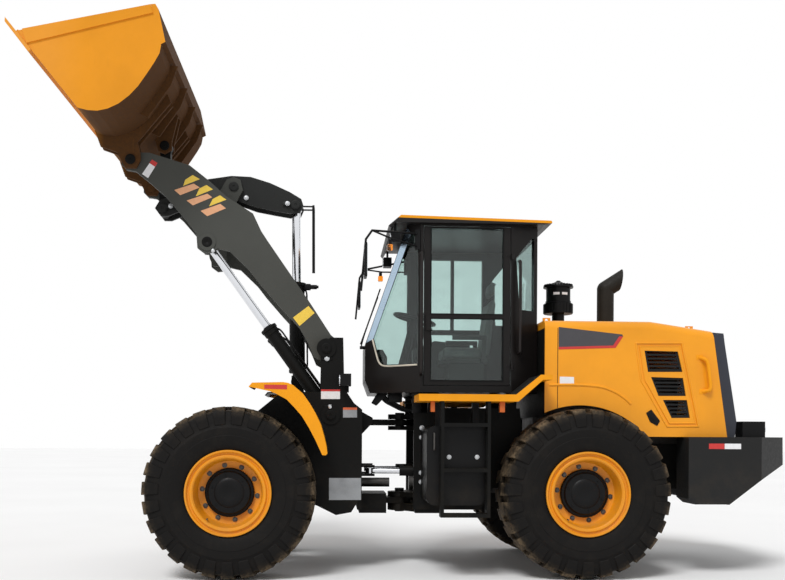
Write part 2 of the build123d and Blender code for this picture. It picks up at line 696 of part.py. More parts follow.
with BuildPart() as door:
    block(door_rear + door_gap, door_front - door_gap, 662, 700, door_low + door_gap, door_high - door_gap)
    for low, high, rear, fore in door_windows:
        block(rear, fore, 650, 710, low, high, mode=Mode.SUBTRACT)
    for z in hinge_heights:
        block(590, 640, 701, 707, z + 31, z + 51)
        block(620, 640, 699, 707, z + 31, z + 51)
        with BuildSketch(top(z)):
            with Locations((590, 715)):
                Circle(8)
        extrude(amount=51)
        with BuildSketch(top(z + 31)):
            with Locations((590, 715)):
                Circle(14)
        extrude(amount=20)
    block(1335, 1375, 700, 722, 2200, 2330)
save(door.part, "left_door")
with BuildPart() as door_glass:
    for low, high, rear, fore in door_windows:
        block(rear + pane_gap, fore - pane_gap, 678, 678 + pane, low + pane_gap, high - pane_gap)
save(door_glass.part, "left_door_glass")

# Inside the cab
floor_top = cab_floor + cab_wall
seat_x = 700.0
with BuildPart() as seat_base:
    block(seat_x + 60, seat_x + 400, -170, 170, floor_top + seat_gap, floor_top + 260)
    block(seat_x + 20, seat_x + 470, -225, 225, floor_top + 260, floor_top + 300)
    for y in (-285, 285):
        block(seat_x + 60, seat_x + 380, y - 30, y + 30, floor_top + 480, floor_top + 520)
        block(seat_x + 60, seat_x + 100, *sorted((y - 20, y * 0.7)), floor_top + 262, floor_top + 300)
        block(seat_x + 60, seat_x + 100, y - 20, y + 20, floor_top + 262, floor_top + 490)
save(seat_base.part, "seat_base")
cushion_low = floor_top + 300 + seat_gap
with BuildPart() as cushion:
    block(seat_x + 80, seat_x + 480, -240, 240, cushion_low, cushion_low + 110)
    fillet(cushion.edges(), 30)
    slab([(seat_x + 20, cushion_low), (seat_x + 79, cushion_low), (seat_x + 40, cushion_low + 600),
          (seat_x - 50, cushion_low + 600)], 235, -235)
    slab([(seat_x + 28, cushion_low + 590), (seat_x - 42, cushion_low + 590),
          (seat_x - 60, cushion_low + 770),
          (seat_x + 10, cushion_low + 770)], 140, -140)
save(cushion.part, "seat_cushions")
column_foot, column_head = (1600.0, 0.0, floor_top + 20.0), (1420.0, 0.0, 2380.0)
wheel_hoop, wheel_grip = 200.0, 15.0
with BuildPart() as steering_column:
    rod_between(column_foot, column_head, 38)
    block(column_foot[0] - 80, column_foot[0] + 80, -80, 80, floor_top + seat_gap, floor_top + 60)
    hoop_plane = Plane(
        origin=(rear_axle_x + column_head[0], 0, column_head[2]),
        z_dir=(column_head[0] - column_foot[0], 0, column_head[2] - column_foot[2]),
    )
    add(Solid.make_torus(wheel_hoop, wheel_grip, hoop_plane))
    for turn in (0, 120, 240):
        spoke = hoop_plane.rotated((0, 0, turn))
        add(Solid.make_cylinder(11, wheel_hoop, Plane(origin=spoke.origin, z_dir=spoke.x_dir)))
save(steering_column.part, "steering_column")
with BuildPart() as console:
    slab([(820, floor_top + seat_gap), (820, 2170), (1180, 2210), (1400, 2120),
          (1400, floor_top + seat_gap)], -380, -560)
    for x in (1200, 1270, 1340):
        rod_between((x, -470, 2140), (x + 20, -470, 2330), 9)
        with Locations((rear_axle_x + x + 20, -470, 2335)):
            Sphere(24)
    slab([(1700, floor_top + seat_gap), (1700, 1990), (1740, 2060), (1830, 2060),
          (1830, floor_top + seat_gap)], 250, -250)
save(console.part, "control_console")

# Mirrors, grab bars and lamps
with BuildPart() as mirrors:
    for hand in (1, -1):
        bent_rod([(1452, hand * 700, 3075), (1880, hand * 1000, 3035), (1935, hand * 1040, 2950),
                  (1975, hand * 1040, 2500)], 10)
        bent_rod([(1452, hand * 700, 2960), (1700, hand * 880, 2990), (1880, hand * 1000, 3035)], 8)
        block(1452 - 20, 1452 + 25, *sorted((hand * 650, hand * 712)), 2930, 3110)
        with Locations((rear_axle_x + 1938, hand * 1055, 2760)):
            Box(24, 170, 290)
    add(cab_form, mode=Mode.SUBTRACT)
save(mirrors.part, "mirrors")
bar_radius = 14.0
grab_bars = [
    # x, foot height, head height
    (1420.0, 1800.0, 2900.0),
    (520.0, 2000.0, 2840.0),
]
with BuildPart() as bars:
    for hand in (1, -1):
        for x, low, high in grab_bars:
            y = 760 if x > 600 else 735
            foot = 640
            bent_rod([(x, hand * foot, low), (x, hand * y, low), (x, hand * y, high), (x, hand * foot, high)],
                     bar_radius)
        side_y = hood_half_width + seat_gap
        bent_rod([(-1121, hand * side_y, 1944), (-1121, hand * 925, 1944), (-1214, hand * 925, 1646),
                  (-1214, hand * side_y, 1646)], 11)
    add(cab_form, mode=Mode.SUBTRACT)
save(bars.part, "grab_bars")
with BuildPart() as work_lamps:
    for y in (-645, 645):
        block(1613, 1697, y - 58, y + 58, 3000, 3095)
        block(1645, 1665, y - 20, y + 20, 3085, cab_top)
    for hand in (1, -1):
        block(-1722, -1512, *sorted((hand * 640, hand * 800)), 1248 + seat_gap, 1392)
save(work_lamps.part, "work_lamps")
with BuildPart() as head_lamps:
    for hand in (1, -1):
        block(2060, 2140, *sorted((hand * (outer_high + seat_gap), hand * 620)), 1700, 1760)
        block(2050, 2150, *sorted((hand * 610, hand * 740)), 1690, 1800)
save(head_lamps.part, "head_lamps")

# Arm: two plates, a cross tube, the rocker's brackets and the lift cylinders' inner ears
arm_outline = [
    (4150, 3765), (4110, 3812), (3898, 3812), (3535, 3704), (3361, 3570), (3200, 3426), (2955, 3272),
    (2878, 3110), (2817, 3018), (2532, 2608), (2448, 2489), (2235, 2165), (2165, 2110), (2145, 2030),
    (2190, 1940),
    (2290, 1910), (2390, 1960), (2440, 2080), (2520, 2221), (2724, 2440), (2899, 2640), (2991, 2758),
    (3166, 2925), (3275, 2950), (3320, 2915), (3400, 2905), (3460, 2950), (3470, 3080), (3586, 3227),
    (3751, 3416), (3897, 3542), (4020, 3640), (4106, 3655), (4150, 3700),
]
tube_radius = 110.0
with BuildPart() as arm:
    for hand in (1, -1):
        high, low = (arm_outer, arm_inner) if hand > 0 else (-arm_inner, -arm_outer)
        slab(arm_outline, high, low)
    cross_pin(cross_tube, tube_radius, arm_inner, -arm_inner)
    for high, low in [(bracket_outer, bracket_inner), (-bracket_inner, -bracket_outer)]:
        slab([(3085, 3580), (3110, 3680), (3172, 3705), (3240, 3680), (3290, 3590), (3505, 3290),
              (3480, 3180),
              (3400, 3140), (3300, 3190)], high, low)
    cross_pin(rocker_pivot, pin_radius, bracket_outer + 5, -bracket_outer - 5)
    for high, low in [(330, 300), (-300, -330)]:
        slab([(3290, 3250), (3320, 3340), (3440, 3355), (3510, 3260), (3455, 3000), (3420, 2930),
              (3330, 2925),
              (3290, 2990)], high, low)
    for hand in (1, -1):
        cross_pin(lift_eye, 80, *spread(hand, arm_outer + 8, arm_outer - 1))
    for at in (arm_pivot, bucket_pivot):
        cross_pin(at, pin_radius + running_gap, 600, -600, mode=Mode.SUBTRACT)
save(arm.part, "arm")

# Rocker: two plates on one boss
with BuildPart() as rocker:
    for high, low in [(rocker_outer, rocker_inner), (-rocker_inner, -rocker_outer)]:
        slab([(2510, 3456), (2530, 3515), (2640, 3580), (2830, 3664), (3016, 3719), (3200, 3725),
              (3418, 3690),
              (3880, 3480), (3925, 3404), (3870, 3330), (3800, 3330), (3500, 3460), (3172, 3500),
              (2968, 3431), (2781, 3397),
              (2642, 3375), (2540, 3385)], high, low)
    cross_pin(rocker_pivot, 80, rocker_inner, -rocker_inner)
    block(3330, 3560, -rocker_inner, rocker_inner, 3500, 3560)
    for hand in (1, -1):
        cross_pin(rocker_rear_eye, pin_radius, *spread(hand, rocker_outer + 16, rocker_outer - 1))
        cross_pin(rocker_front_eye, pin_radius, *spread(hand, rocker_outer + 16, rocker_outer - 1))
    cross_pin(rocker_pivot, pin_radius + running_gap, 130, -130, mode=Mode.SUBTRACT)
save(rocker.part, "rocker")

# Link from the rocker to the bucket
with BuildPart() as link:
    with BuildSketch(side(40)):
        with Locations(link_bucket_eye, rocker_front_eye):
            Circle(62)
        Polygon((3800, 3404), (3790, 4010), (3889, 4010), (3898, 3404), align=None)
    extrude(amount=80)
    cross_pin(rocker_front_eye, 62, rocker_inner - side_gap, side_gap - rocker_inner)
    cross_pin(link_bucket_eye, pin_radius + running_gap, 60, -60, mode=Mode.SUBTRACT)
save(link.part, "tilt_link")

# Bucket shell, side plates and pin ears
bucket_line = [
    bucket_tip, (4354, 3965), (4275, 3946), (4190, 3942), (4105, 3962), (4015, 4006), (3925, 4078),
    (3855, 4155),
    (3790, 4250), (3722, 4355), (3678, 4435), (3666, 4500), (3685, 4595), (3740, 4800), (3757, 4840),
]
ear_outline = [
    (4383, 3995), (4190, 3952), (4015, 4016), (3925, 4088), (3860, 4163), (3738, 4345), (3700, 4262),
    (4000, 3895),
    (3975, 3800), (3970, 3740), (4010, 3660), (4110, 3660), (4150, 3735), (4180, 3800), (4330, 3850),
]
with BuildPart() as bucket:
    slab(band(bucket_line, -bucket_wall), bucket_half_width, -bucket_half_width)
    for high, low in [(bucket_half_width, bucket_half_width - 25),
                      (25 - bucket_half_width, -bucket_half_width)]:
        slab(bucket_line, high, low)
    for high, low in [(570, 540), (470, 440), (-440, -470), (-540, -570)]:
        slab(ear_outline, high, low)
    for high, low in [(80, 50), (-50, -80)]:
        slab([(3940, 4078), (3900, 3960), (3840, 3935), (3775, 3975), (3775, 4050), (3715, 4300),
              (3748, 4330)],
             high, low)
    # Box section along the upper lip, bands on the side plates and stiffeners on the back
    slab([(3668, 4510), (3740, 4800), (3757, 4842), (3715, 4846), (3690, 4805), (3630, 4530)],
         bucket_half_width,
         -bucket_half_width)
    for hand in (1, -1):
        slab([(4808, 4606), (3757, 4836), (3733, 4768), (4770, 4490)],
             *spread(hand, bucket_half_width + 12, bucket_half_width - 1))
        for y in (255, 800):
            slab([(3722, 4368), (3674, 4500), (3600, 4500), (3660, 4330), (3860, 4040), (3935, 4078)],
                 *spread(hand, y + 12, y - 12))
    for high, low in [(585, 425), (-425, -585)]:
        cross_pin(bucket_pivot, pin_radius, high, low)
    cross_pin(link_bucket_eye, pin_radius, 95, -95)
save(bucket.part, "bucket")
with BuildPart() as edge:
    floor_end = (4354.0, 3965.0)
    floor_length = math.dist(bucket_tip, floor_end)
    ux, uz = (bucket_tip[0] - floor_end[0]) / floor_length, (bucket_tip[1] - floor_end[1]) / floor_length
    slab([(bucket_tip[0] + s * ux + t * uz, bucket_tip[1] + s * uz - t * ux)
          for s, t in [(-200, seat_gap), (138, seat_gap), (110, 25), (-200, 30)]],
         bucket_half_width + 15, -bucket_half_width - 15)
save(edge.part, "cutting_edge")

cylinders = [
    # name, base, eye, lateral place, barrel radius, rod radius, barrel length, engaged rod length,
    # half width of the base's eye, half width of the rod's eye
    ("lift_cylinder_left", lift_base, lift_eye, 405.0, 63.0, 36.0, 1000.0, 60.0, 50.0, 50.0),
    ("lift_cylinder_right", lift_base, lift_eye, -405.0, 63.0, 36.0, 1000.0, 60.0, 50.0, 50.0),
    ("tilt_cylinder", tilt_base, rocker_rear_eye, 0.0, 75.0, 42.0, 960.0, 120.0, 40.0, 80.0),
]
for name, base, eye, y, barrel_radius, rod_radius, length, engaged, base_half, eye_half in cylinders:
    reach = math.dist(base, eye)
    axis_plane = along(base, eye, y)
    with BuildPart() as barrel:
        with BuildSketch(axis_plane.offset(84)):
            Circle(barrel_radius)
        extrude(amount=length - 84)
        with BuildSketch(axis_plane.offset(length - 90)):
            Circle(barrel_radius + 2)
        extrude(amount=70)
        cross_pin(base, 62, y + base_half, y - base_half)
        with BuildSketch(axis_plane.offset(0)):
            Rectangle(2 * base_half, 90)
        extrude(amount=90)
        with BuildSketch(axis_plane.offset(95)):
            Circle(rod_radius + running_gap)
        extrude(amount=length, mode=Mode.SUBTRACT)
        cross_pin(base, pin_radius + running_gap, y + 80, y - 80, mode=Mode.SUBTRACT)
    save(barrel.part, f"{name}_barrel")
    with BuildPart() as rod:
        with BuildSketch(axis_plane.offset(length - engaged)):
            Circle(rod_radius)
        extrude(amount=reach - 50 - length + engaged)
        cross_pin(eye, 60, y + eye_half, y - eye_half)
    save(rod.part, f"{name}_rod")
for hand, name in [(1, "left"), (-1, "right")]:
    start = Vector(rear_axle_x + steer_base[0], hand * steer_base[1], steer_height)
    end = Vector(rear_axle_x + steer_eye[0], hand * steer_eye[1], steer_height)
    axis_plane = Plane(origin=start, x_dir=(0, 0, 1), z_dir=end - start)
    length = 480.0
    with BuildPart() as barrel:
        with BuildSketch(axis_plane.offset(52)):
            Circle(48)
        extrude(amount=length - 52)
        with BuildSketch(axis_plane):
            Rectangle(60, 60)
        extrude(amount=60)
        with Locations(start):
            Cylinder(42, 60)
        with BuildSketch(axis_plane.offset(80)):
            Circle(28 + running_gap)
        extrude(amount=length, mode=Mode.SUBTRACT)
        with Locations(start):
            Cylinder(25 + running_gap, 80, mode=Mode.SUBTRACT)
    save(barrel.part, f"steering_cylinder_{name}_barrel")
    with BuildPart() as rod:
        with BuildSketch(axis_plane.offset(330)):
            Circle(28)
        extrude(amount=(end - start).length - 330 - 30)
        with Locations(end):
            Cylinder(40, 50)
    save(rod.part, f"steering_cylinder_{name}_rod")

# Drive shafts
for name, x0, x1 in [("drive_shaft_front", 1660.0, wheelbase - 240.3), ("drive_shaft_rear", 1000.3, 1470.0)]:
    with BuildPart() as shaft:
        with Locations(Location((rear_axle_x + (x0 + x1) / 2, 0, shaft_height), (0, 90, 0))):
            Cylinder(45, x1 - x0)
        with Locations(Location((rear_axle_x + x1 - 20, 0, shaft_height), (0, 90, 0))):
            Cylinder(75, 40)
    save(shaft.part, name)
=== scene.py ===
import bmesh
import bpy
import json
import math
from mathutils import Matrix, Vector


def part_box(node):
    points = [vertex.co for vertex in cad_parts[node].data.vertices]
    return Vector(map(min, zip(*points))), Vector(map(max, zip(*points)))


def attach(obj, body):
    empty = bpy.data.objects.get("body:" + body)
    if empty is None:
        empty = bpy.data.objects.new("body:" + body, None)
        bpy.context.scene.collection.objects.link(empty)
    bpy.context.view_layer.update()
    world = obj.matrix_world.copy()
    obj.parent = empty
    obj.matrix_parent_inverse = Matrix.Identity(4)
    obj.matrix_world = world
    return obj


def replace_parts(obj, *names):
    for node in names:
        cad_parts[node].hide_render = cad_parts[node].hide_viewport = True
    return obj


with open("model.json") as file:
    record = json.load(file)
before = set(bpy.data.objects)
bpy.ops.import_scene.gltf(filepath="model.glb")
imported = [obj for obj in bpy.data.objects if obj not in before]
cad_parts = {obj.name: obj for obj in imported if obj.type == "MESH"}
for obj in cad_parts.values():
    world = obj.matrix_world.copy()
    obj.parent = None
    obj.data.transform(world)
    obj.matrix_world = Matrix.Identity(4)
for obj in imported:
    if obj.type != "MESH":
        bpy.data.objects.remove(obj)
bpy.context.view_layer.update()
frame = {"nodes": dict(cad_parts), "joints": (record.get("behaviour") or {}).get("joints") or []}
nodes = frame["nodes"]
joints = {joint["name"]: joint for joint in frame["joints"]}
hands = (1, -1)  # left and right
rear, front = "rear_machine", "front_machine"


def pivot(name):  # a joint's place
    return Vector(joints[name]["pos_m"])


rearAxle = pivot("wheel_spin_rear_left")


def spot(x, y, z):  # millimetres forward of the rear axle, to the left and up, made metres
    return Vector((rearAxle.x + x / 1000, y / 1000, z / 1000))


print("frame loaded with", len(nodes), "nodes")


# materials

class Value:
    # a socket of a finish, with maths as plain expressions

    def __init__(self, finish, socket):
        self.finish = finish
        self.socket = socket

    def maths(self, operation, first, second):
        return self.finish.node("ShaderNodeMath", {"operation": operation}, {0: first, 1: second})

    def __add__(self, other):
        return self.maths("ADD", self, other)

    def __sub__(self, other):
        return self.maths("SUBTRACT", self, other)

    def __rsub__(self, other):
        return self.maths("SUBTRACT", other, self)

    def __mul__(self, other):
        return self.maths("MULTIPLY", self, other)

    def __gt__(self, other):
        return self.maths("GREATER_THAN", self, other)


class Finish:
    def __init__(self, name, **sockets):
        self.material = bpy.data.materials.new(name)
        self.material.use_nodes = True
        self.tree = self.material.node_tree
        self.shader = self.tree.nodes["Principled BSDF"]
        for key, value in sockets.items():
            self.shader.inputs[key.replace("_", " ")].default_value = value

    def node(self, kind, settings=None, inputs=None, output=0):
        made = self.tree.nodes.new(kind)
        for key, value in (settings or {}).items():
            setattr(made, key, value)
        for key, value in (inputs or {}).items():
            self.plug(made.inputs[key], value)
        return Value(self, made.outputs[output])

    def plug(self, socket, value):
        if isinstance(value, Value):
            self.tree.links.new(value.socket, socket)
        else:
            socket.default_value = value

    def set(self, name, value):
        self.plug(self.shader.inputs[name], value)

    def place(self, scale=(1, 1, 1)):
        coordinates = self.node("ShaderNodeTexCoord", output="Object")
        return self.node("ShaderNodeMapping", {"vector_type": "POINT"}, {"Vector": coordinates, "Scale": scale})

    def axis(self, letter, place=None):
        return self.node("ShaderNodeSeparateXYZ", None, {0: place or self.place()}, "XYZ".index(letter))

    def facing(self, letter):  # how far the surface looks along an axis
        return self.axis(letter, self.node("ShaderNodeTexCoord", output="Normal"))

    def reach(self):  # the distance from the middle plane
        return self.node("ShaderNodeMath", {"operation": "ABSOLUTE"}, {0: self.axis("Y")})

    def noise(self, scale, detail=3.0, roughness=0.55, place=None):
        return self.node("ShaderNodeTexNoise", None,
                         {"Vector": place or self.place(), "Scale": scale, "Detail": detail, "Roughness": roughness})

    def between(self, value, low, high, start=0.0, end=1.0):
        return self.node("ShaderNodeMapRange", None,
                         {"Value": value, "From Min": low, "From Max": high, "To Min": start, "To Max": end})

    def spread(self, value, start=0.0, end=1.0):  # the middle of a noise, stretched
        return self.between(value, 0.3, 0.7, start, end)

    def mix(self, factor, first, second):
        return self.node("ShaderNodeMix", {"data_type": "RGBA"}, {0: factor, 6: first, 7: second}, 2)

    def bump(self, height, distance, strength=1.0, below=None):
        inputs = {"Height": height, "Distance": distance, "Strength": strength}
        if below:
            inputs["Normal"] = below
        return self.node("ShaderNodeBump", None, inputs)


def tone(red, green, blue):  # a colour from 0 to 255 as the eye sees it
    def linear(part):
        part = part / 255
        return part / 12.92 if part <= 0.04045 else ((part + 0.055) / 1.055) ** 2.4
    return (linear(red), linear(green), linear(blue), 1.0)


def shade(colour, share):
    return tuple(channel * share for channel in colour[:3]) + (1.0,)


dustTone = tone(150, 128, 98)


def paint(name, colour, roughness=0.5, coat=0.0, dust=0.35, dustTop=1.1, shine=0.5, under=None):
    # sprayed paint: slow colour drift, orange peel, dust low down and on flat tops, and faint streaks
    finish = Finish(name, Coat_Roughness=0.12, Coat_IOR=1.45, Specular_IOR_Level=shine)
    drift = finish.noise(1.7, 4)
    fine = finish.noise(38, 5, 0.6)
    base = finish.mix(finish.spread(drift), shade(colour, 0.9), shade(colour, 1.06))
    low = finish.between(finish.axis("Z"), dustTop, 0.2)
    patchy = finish.between(finish.noise(6, 6, 0.65), 0.42, 0.72)
    flat = finish.between(finish.facing("Z"), 0.75, 1.0) * 0.16
    film = (low * patchy * dust) + flat * patchy
    base = finish.mix(film, base, dustTone)
    if under:  # painted shade, with earth and oil, behind the outer faces of the sides, fainter towards the lip
        reach, foremost, rearmost = under["reach"]
        film = finish.between(finish.axis("X") + drift * 0.12, foremost, rearmost, 0.1, 1.0)
        base = finish.mix(finish.between(finish.reach(), reach, reach - 0.004) * film, base,
                          finish.mix(fine, under["deep"], under["thin"]))
    streak = finish.noise(9, 4, 0.6, finish.place(scale=(5, 5, 0.5)))
    base = finish.mix(finish.between(streak, 0.62, 0.8) * 0.12, base, shade(colour, 0.6))
    finish.set("Base Color", base)
    finish.set("Roughness", finish.spread(fine, roughness - 0.05, roughness + 0.09) + film * 0.4)
    finish.set("Coat Weight", coat - film * coat)
    finish.set("Normal", finish.bump(finish.noise(240, 2), 0.00012))
    return finish.material


bodyYellow = tone(236, 154, 18)
bodyPaint = paint("bodyPaint", bodyYellow, roughness=0.38, dust=0.2, shine=0.35, coat=0.2)
# the bucket's back, ribs and inside get painted shade with some earth, darkest near the hinge
bucketPaint = paint("bucketPaint", tone(226, 147, 34), dustTop=0.4, shine=0.25, under={
    "deep": tone(58, 37, 18), "thin": tone(96, 61, 27),
    "reach": (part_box("bucket")[1].y - 0.012, pivot("bucket_tilt").x + 0.6, pivot("bucket_tilt").x + 0.3)})
rimPaint = paint("rimPaint", tone(228, 146, 16), roughness=0.42, dust=0.25, dustTop=1.5, shine=0.35, coat=0.1)
armPaint = paint("armPaint", tone(70, 71, 67), roughness=0.55, shine=0.2)
rockerPaint = paint("rockerPaint", tone(34, 35, 34), shine=0.18)
framePaint = paint("framePaint", tone(13, 13, 12), dust=0.06, shine=0.12)
weightPaint = paint("weightPaint", tone(34, 34, 34), roughness=0.55, dust=0.12, shine=0.16)
tankPaint = paint("tankPaint", tone(12, 12, 13), roughness=0.4, coat=0.03, dust=0.06, shine=0.16)
cabPaint = paint("cabPaint", tone(19, 16, 15), roughness=0.36, coat=0.05, dust=0.03, shine=0.18)
grillePaint = paint("grillePaint", tone(50, 53, 62), shine=0.3)
meshPaint = paint("meshPaint", tone(24, 25, 26), roughness=0.6, shine=0.2)
bareEdge = paint("bareEdge", tone(226, 150, 44), roughness=0.42, shine=0.3)


def splitPaint(name, above, below, mask, roughness=0.42):
    # two paints on one solid, parted by a mask from the finish
    finish = Finish(name, Coat_Weight=0.03, Coat_Roughness=0.15, Specular_IOR_Level=0.2)
    drift = finish.spread(finish.noise(2.1, 4))
    upper = finish.mix(drift, shade(above, 0.92), shade(above, 1.05))
    lower = finish.mix(drift, shade(below, 0.88), shade(below, 1.12))
    finish.set("Base Color", finish.mix(mask(finish), lower, upper))
    finish.set("Roughness", finish.spread(finish.noise(40, 5), roughness - 0.05, roughness + 0.1))
    finish.set("Normal", finish.bump(finish.noise(240, 2), 0.00012))
    return finish.material


roofFall = 0.0227  # the roof's top sinks towards the back
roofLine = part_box("cab_roof")[1].z - 0.024 - spot(1610, 0, 0).x * roofFall
roofPaint = splitPaint("roofPaint", bodyYellow, tone(26, 24, 23),
                       lambda finish: ((finish.axis("Z") - finish.axis("X") * roofFall) > roofLine)
                       * (finish.facing("Z") > -0.2))
platformPaint = splitPaint("platformPaint", tone(26, 26, 25), bodyYellow,
                           lambda finish: finish.facing("Z") > 0.3, 0.5)
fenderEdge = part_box("front_fenders")[1].y - 0.02
fenderPaint = splitPaint("fenderPaint", bodyYellow, tone(20, 19, 19),
                         lambda finish: finish.node("ShaderNodeMath", {"operation": "MAXIMUM"}, {
                             0: finish.reach() > fenderEdge, 1: finish.facing("Z") > 0.15}))
barPaint = splitPaint("barPaint", tone(34, 30, 29), bodyYellow,
                      lambda finish: finish.axis("X") > rearAxle.x - 0.6)


def plastic(name, colour, roughness=0.55, grain=0.0003):
    finish = Finish(name, Specular_IOR_Level=0.16)
    drift = finish.spread(finish.noise(5, 4))
    finish.set("Base Color", finish.mix(drift, shade(colour, 0.82), shade(colour, 1.15)))
    finish.set("Roughness", finish.spread(finish.noise(60, 4), roughness - 0.08, roughness + 0.1))
    finish.set("Normal", finish.bump(finish.noise(420, 3), grain))
    return finish.material


blackPlastic = plastic("blackPlastic", tone(12, 12, 13), 0.4)
cabPlastic = plastic("cabPlastic", tone(62, 64, 62), 0.6)
sealRubber = plastic("sealRubber", tone(16, 16, 16), 0.7)
creamTrim = plastic("creamTrim", tone(206, 198, 182), 0.5)
orangeBracket = paint("orangeBracket", tone(196, 92, 24), dust=0.3)


def metal(name, colour, roughness, brushed=(60, 60, 2), grime=0.25):
    finish = Finish(name, Metallic=1.0)
    lines = finish.noise(14, 3, 0.5, finish.place(scale=brushed))
    cloud = finish.between(finish.noise(7, 5), 0.45, 0.75)
    finish.set("Base Color", finish.mix(cloud * grime, colour, shade(colour, 0.35)))
    finish.set("Roughness", finish.spread(lines, roughness * 0.7, roughness * 1.4) + cloud * 0.12)
    finish.set("Normal", finish.bump(lines, 0.00006))
    return finish.material


rodChrome = metal("rodChrome", tone(226, 228, 232), 0.12, grime=0.1)
boltSteel = metal("boltSteel", tone(196, 198, 200), 0.32)
shaftSteel = metal("shaftSteel", tone(92, 90, 88), 0.5, grime=0.6)


def rubber():
    # tyre rubber: tan dust on the tread and the leading blocks, clean dark walls, moulded ripples
    finish = Finish("tyreRubber", Specular_IOR_Level=0.14)
    cloud = finish.noise(7, 6, 0.65)
    fine = finish.noise(48, 5, 0.65)
    crown = finish.node("ShaderNodeAttribute", {"attribute_name": "tread"}, output="Fac")
    dust = crown * finish.between(cloud, 0.35, 0.62) * finish.between(fine, 0.3, 0.6)
    film = finish.between(cloud, 0.5, 0.75) * 0.1
    base = finish.mix(finish.spread(fine), tone(12, 11, 10), tone(21, 19, 18))
    base = finish.mix(film, base, tone(70, 62, 52))
    base = finish.mix(dust * 0.7, base, tone(140, 120, 94))
    finish.set("Base Color", base)
    finish.set("Roughness", finish.spread(fine, 0.55, 0.8) + dust * 0.15)
    finish.set("Normal", finish.bump(fine, 0.0012, 0.6, finish.bump(finish.noise(210, 3), 0.0005)))
    return finish.material


tyreRubber = rubber()


def glass(name, colour, roughness=0.02):
    finish = Finish(name, Roughness=roughness, IOR=1.45, Transmission_Weight=1.0)
    smear = finish.between(finish.noise(3, 5, 0.6, finish.place(scale=(1, 1, 2.4))), 0.45, 0.8)
    finish.set("Base Color", finish.mix(smear * 0.3, colour, shade(colour, 0.8)))
    finish.set("Roughness", smear * 0.05 + roughness)
    return finish.material


cabGlass = glass("cabGlass", tone(211, 228, 225))
clearLens = glass("clearLens", tone(240, 244, 244), 0.08)
amberLens = glass("amberLens", tone(255, 150, 30), 0.12)
redLens = glass("redLens", tone(214, 34, 30), 0.15)
mirrorGlass = metal("mirrorGlass", tone(220, 226, 230), 0.03, grime=0.02)


def film(name, colour):
    # plain film: one colour with a slight drift and a fine grain
    finish = Finish(name, Coat_Weight=0.2, Coat_Roughness=0.2)
    drift = finish.between(finish.noise(30, 5), 0.35, 0.7)
    finish.set("Base Color", finish.mix(drift, shade(colour, 0.9), colour))
    finish.set("Roughness", finish.spread(finish.noise(90, 3), 0.35, 0.55))
    finish.set("Normal", finish.bump(finish.noise(500, 2), 0.00005))
    return finish.material


yellowFilm = film("yellowFilm", tone(240, 203, 72))
salmonFilm = film("salmonFilm", tone(232, 170, 126))
whiteFilm = film("whiteFilm", tone(236, 236, 238))
redFilm = film("redFilm", tone(200, 44, 40))
orangeFilm = film("orangeFilm", tone(214, 96, 44))
greyFilm = film("greyFilm", tone(58, 56, 60))
plateFilm = metal("plateFilm", tone(150, 152, 154), 0.45, (20, 20, 20))
# pale blue metal for the pillar strips: a painted reflection of the windscreen's edge
pillarFilm = metal("pillarFilm", tone(176, 196, 214), 0.18, (1, 1, 12), 0.15)

dressed = (
    (framePaint, "rear_frame front_frame tilt_link ladders rear_axle front_axle"),
    (blackPlastic, "air_intake steering_column mirrors work_lamps head_lamps"), (bareEdge, "cutting_edge"),
    (cabPlastic, "seat_base control_console"), (shaftSteel, "engine_block drive_shaft_front drive_shaft_rear"),
    (cabPaint, "cab_shell left_door"), (cabGlass, "cab_glass left_door_glass"), (roofPaint, "cab_roof"),
    (plastic("burntSteel", tone(34, 32, 28), 0.6), "exhaust_stack"), (bodyPaint, "hood"),
    (grillePaint, "rear_grille"), (weightPaint, "counterweight"), (meshPaint, "hood_mesh"), (armPaint, "arm"),
    (rockerPaint, "rocker"), (bucketPaint, "bucket"), (platformPaint, "platforms"), (tankPaint, "side_tanks"),
    (fenderPaint, "front_fenders"), (barPaint, "grab_bars"),
)
finishes = {name: made for made, names in dressed for name in names.split()}
for name, node in nodes.items():
    made = finishes.get(name)
    if name.endswith("_barrel"):
        made = framePaint
    if name.endswith("_rod"):
        made = rodChrome
    if made:
        for slot in node.material_slots:
            slot.material = made
print("finishes set")


# shapes

def titled(prefix, name):
    return prefix + name[0].upper() + name[1:]


def placed(name, data):
    holder = bpy.data.objects.new(name, data)
    bpy.context.scene.collection.objects.link(holder)
    return holder


def asMesh(name, shape):
    mesh = bpy.data.meshes.new(name)
    shape.to_mesh(mesh)
    shape.free()
    return mesh


def pushed(shape, faces, way=(0, 0, 0)):  # the faces drawn out into a solid; returns the new points
    raised = bmesh.ops.extrude_face_region(shape, geom=faces)
    verts = [item for item in raised["geom"] if isinstance(item, bmesh.types.BMVert)]
    bmesh.ops.translate(shape, verts=verts, vec=way)
    return verts


def newPiece(name, shape, material, body, smooth=35.0, clean=True):
    if clean:
        bmesh.ops.remove_doubles(shape, verts=shape.verts, dist=0.00002)
        bmesh.ops.recalc_face_normals(shape, faces=shape.faces)
    mesh = asMesh(name, shape)
    mesh.polygons.foreach_set("use_smooth", [True] * len(mesh.polygons))
    mesh.set_sharp_from_angle(angle=math.radians(smooth))
    piece = placed(name, mesh)
    mesh.materials.append(material)
    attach(piece, body)
    return piece


def soften(shape, edges, width, steps=2):
    bmesh.ops.bevel(shape, geom=list(edges), offset=width, offset_type="OFFSET", segments=steps, profile=0.5,
                    affect="EDGES", material=-1, clamp_overlap=True)


def addBox(shape, low, high, soft=0.0, turn=None):
    centre = (low + high) / 2
    size = high - low
    matrix = Matrix.Translation(centre) @ (turn or Matrix.Identity(4)) @ Matrix.Diagonal(
        (abs(size.x), abs(size.y), abs(size.z), 1))
    made = bmesh.ops.create_cube(shape, size=1.0, matrix=matrix)
    if soft:
        soften(shape, {edge for vert in made["verts"] for edge in vert.link_edges}, soft)


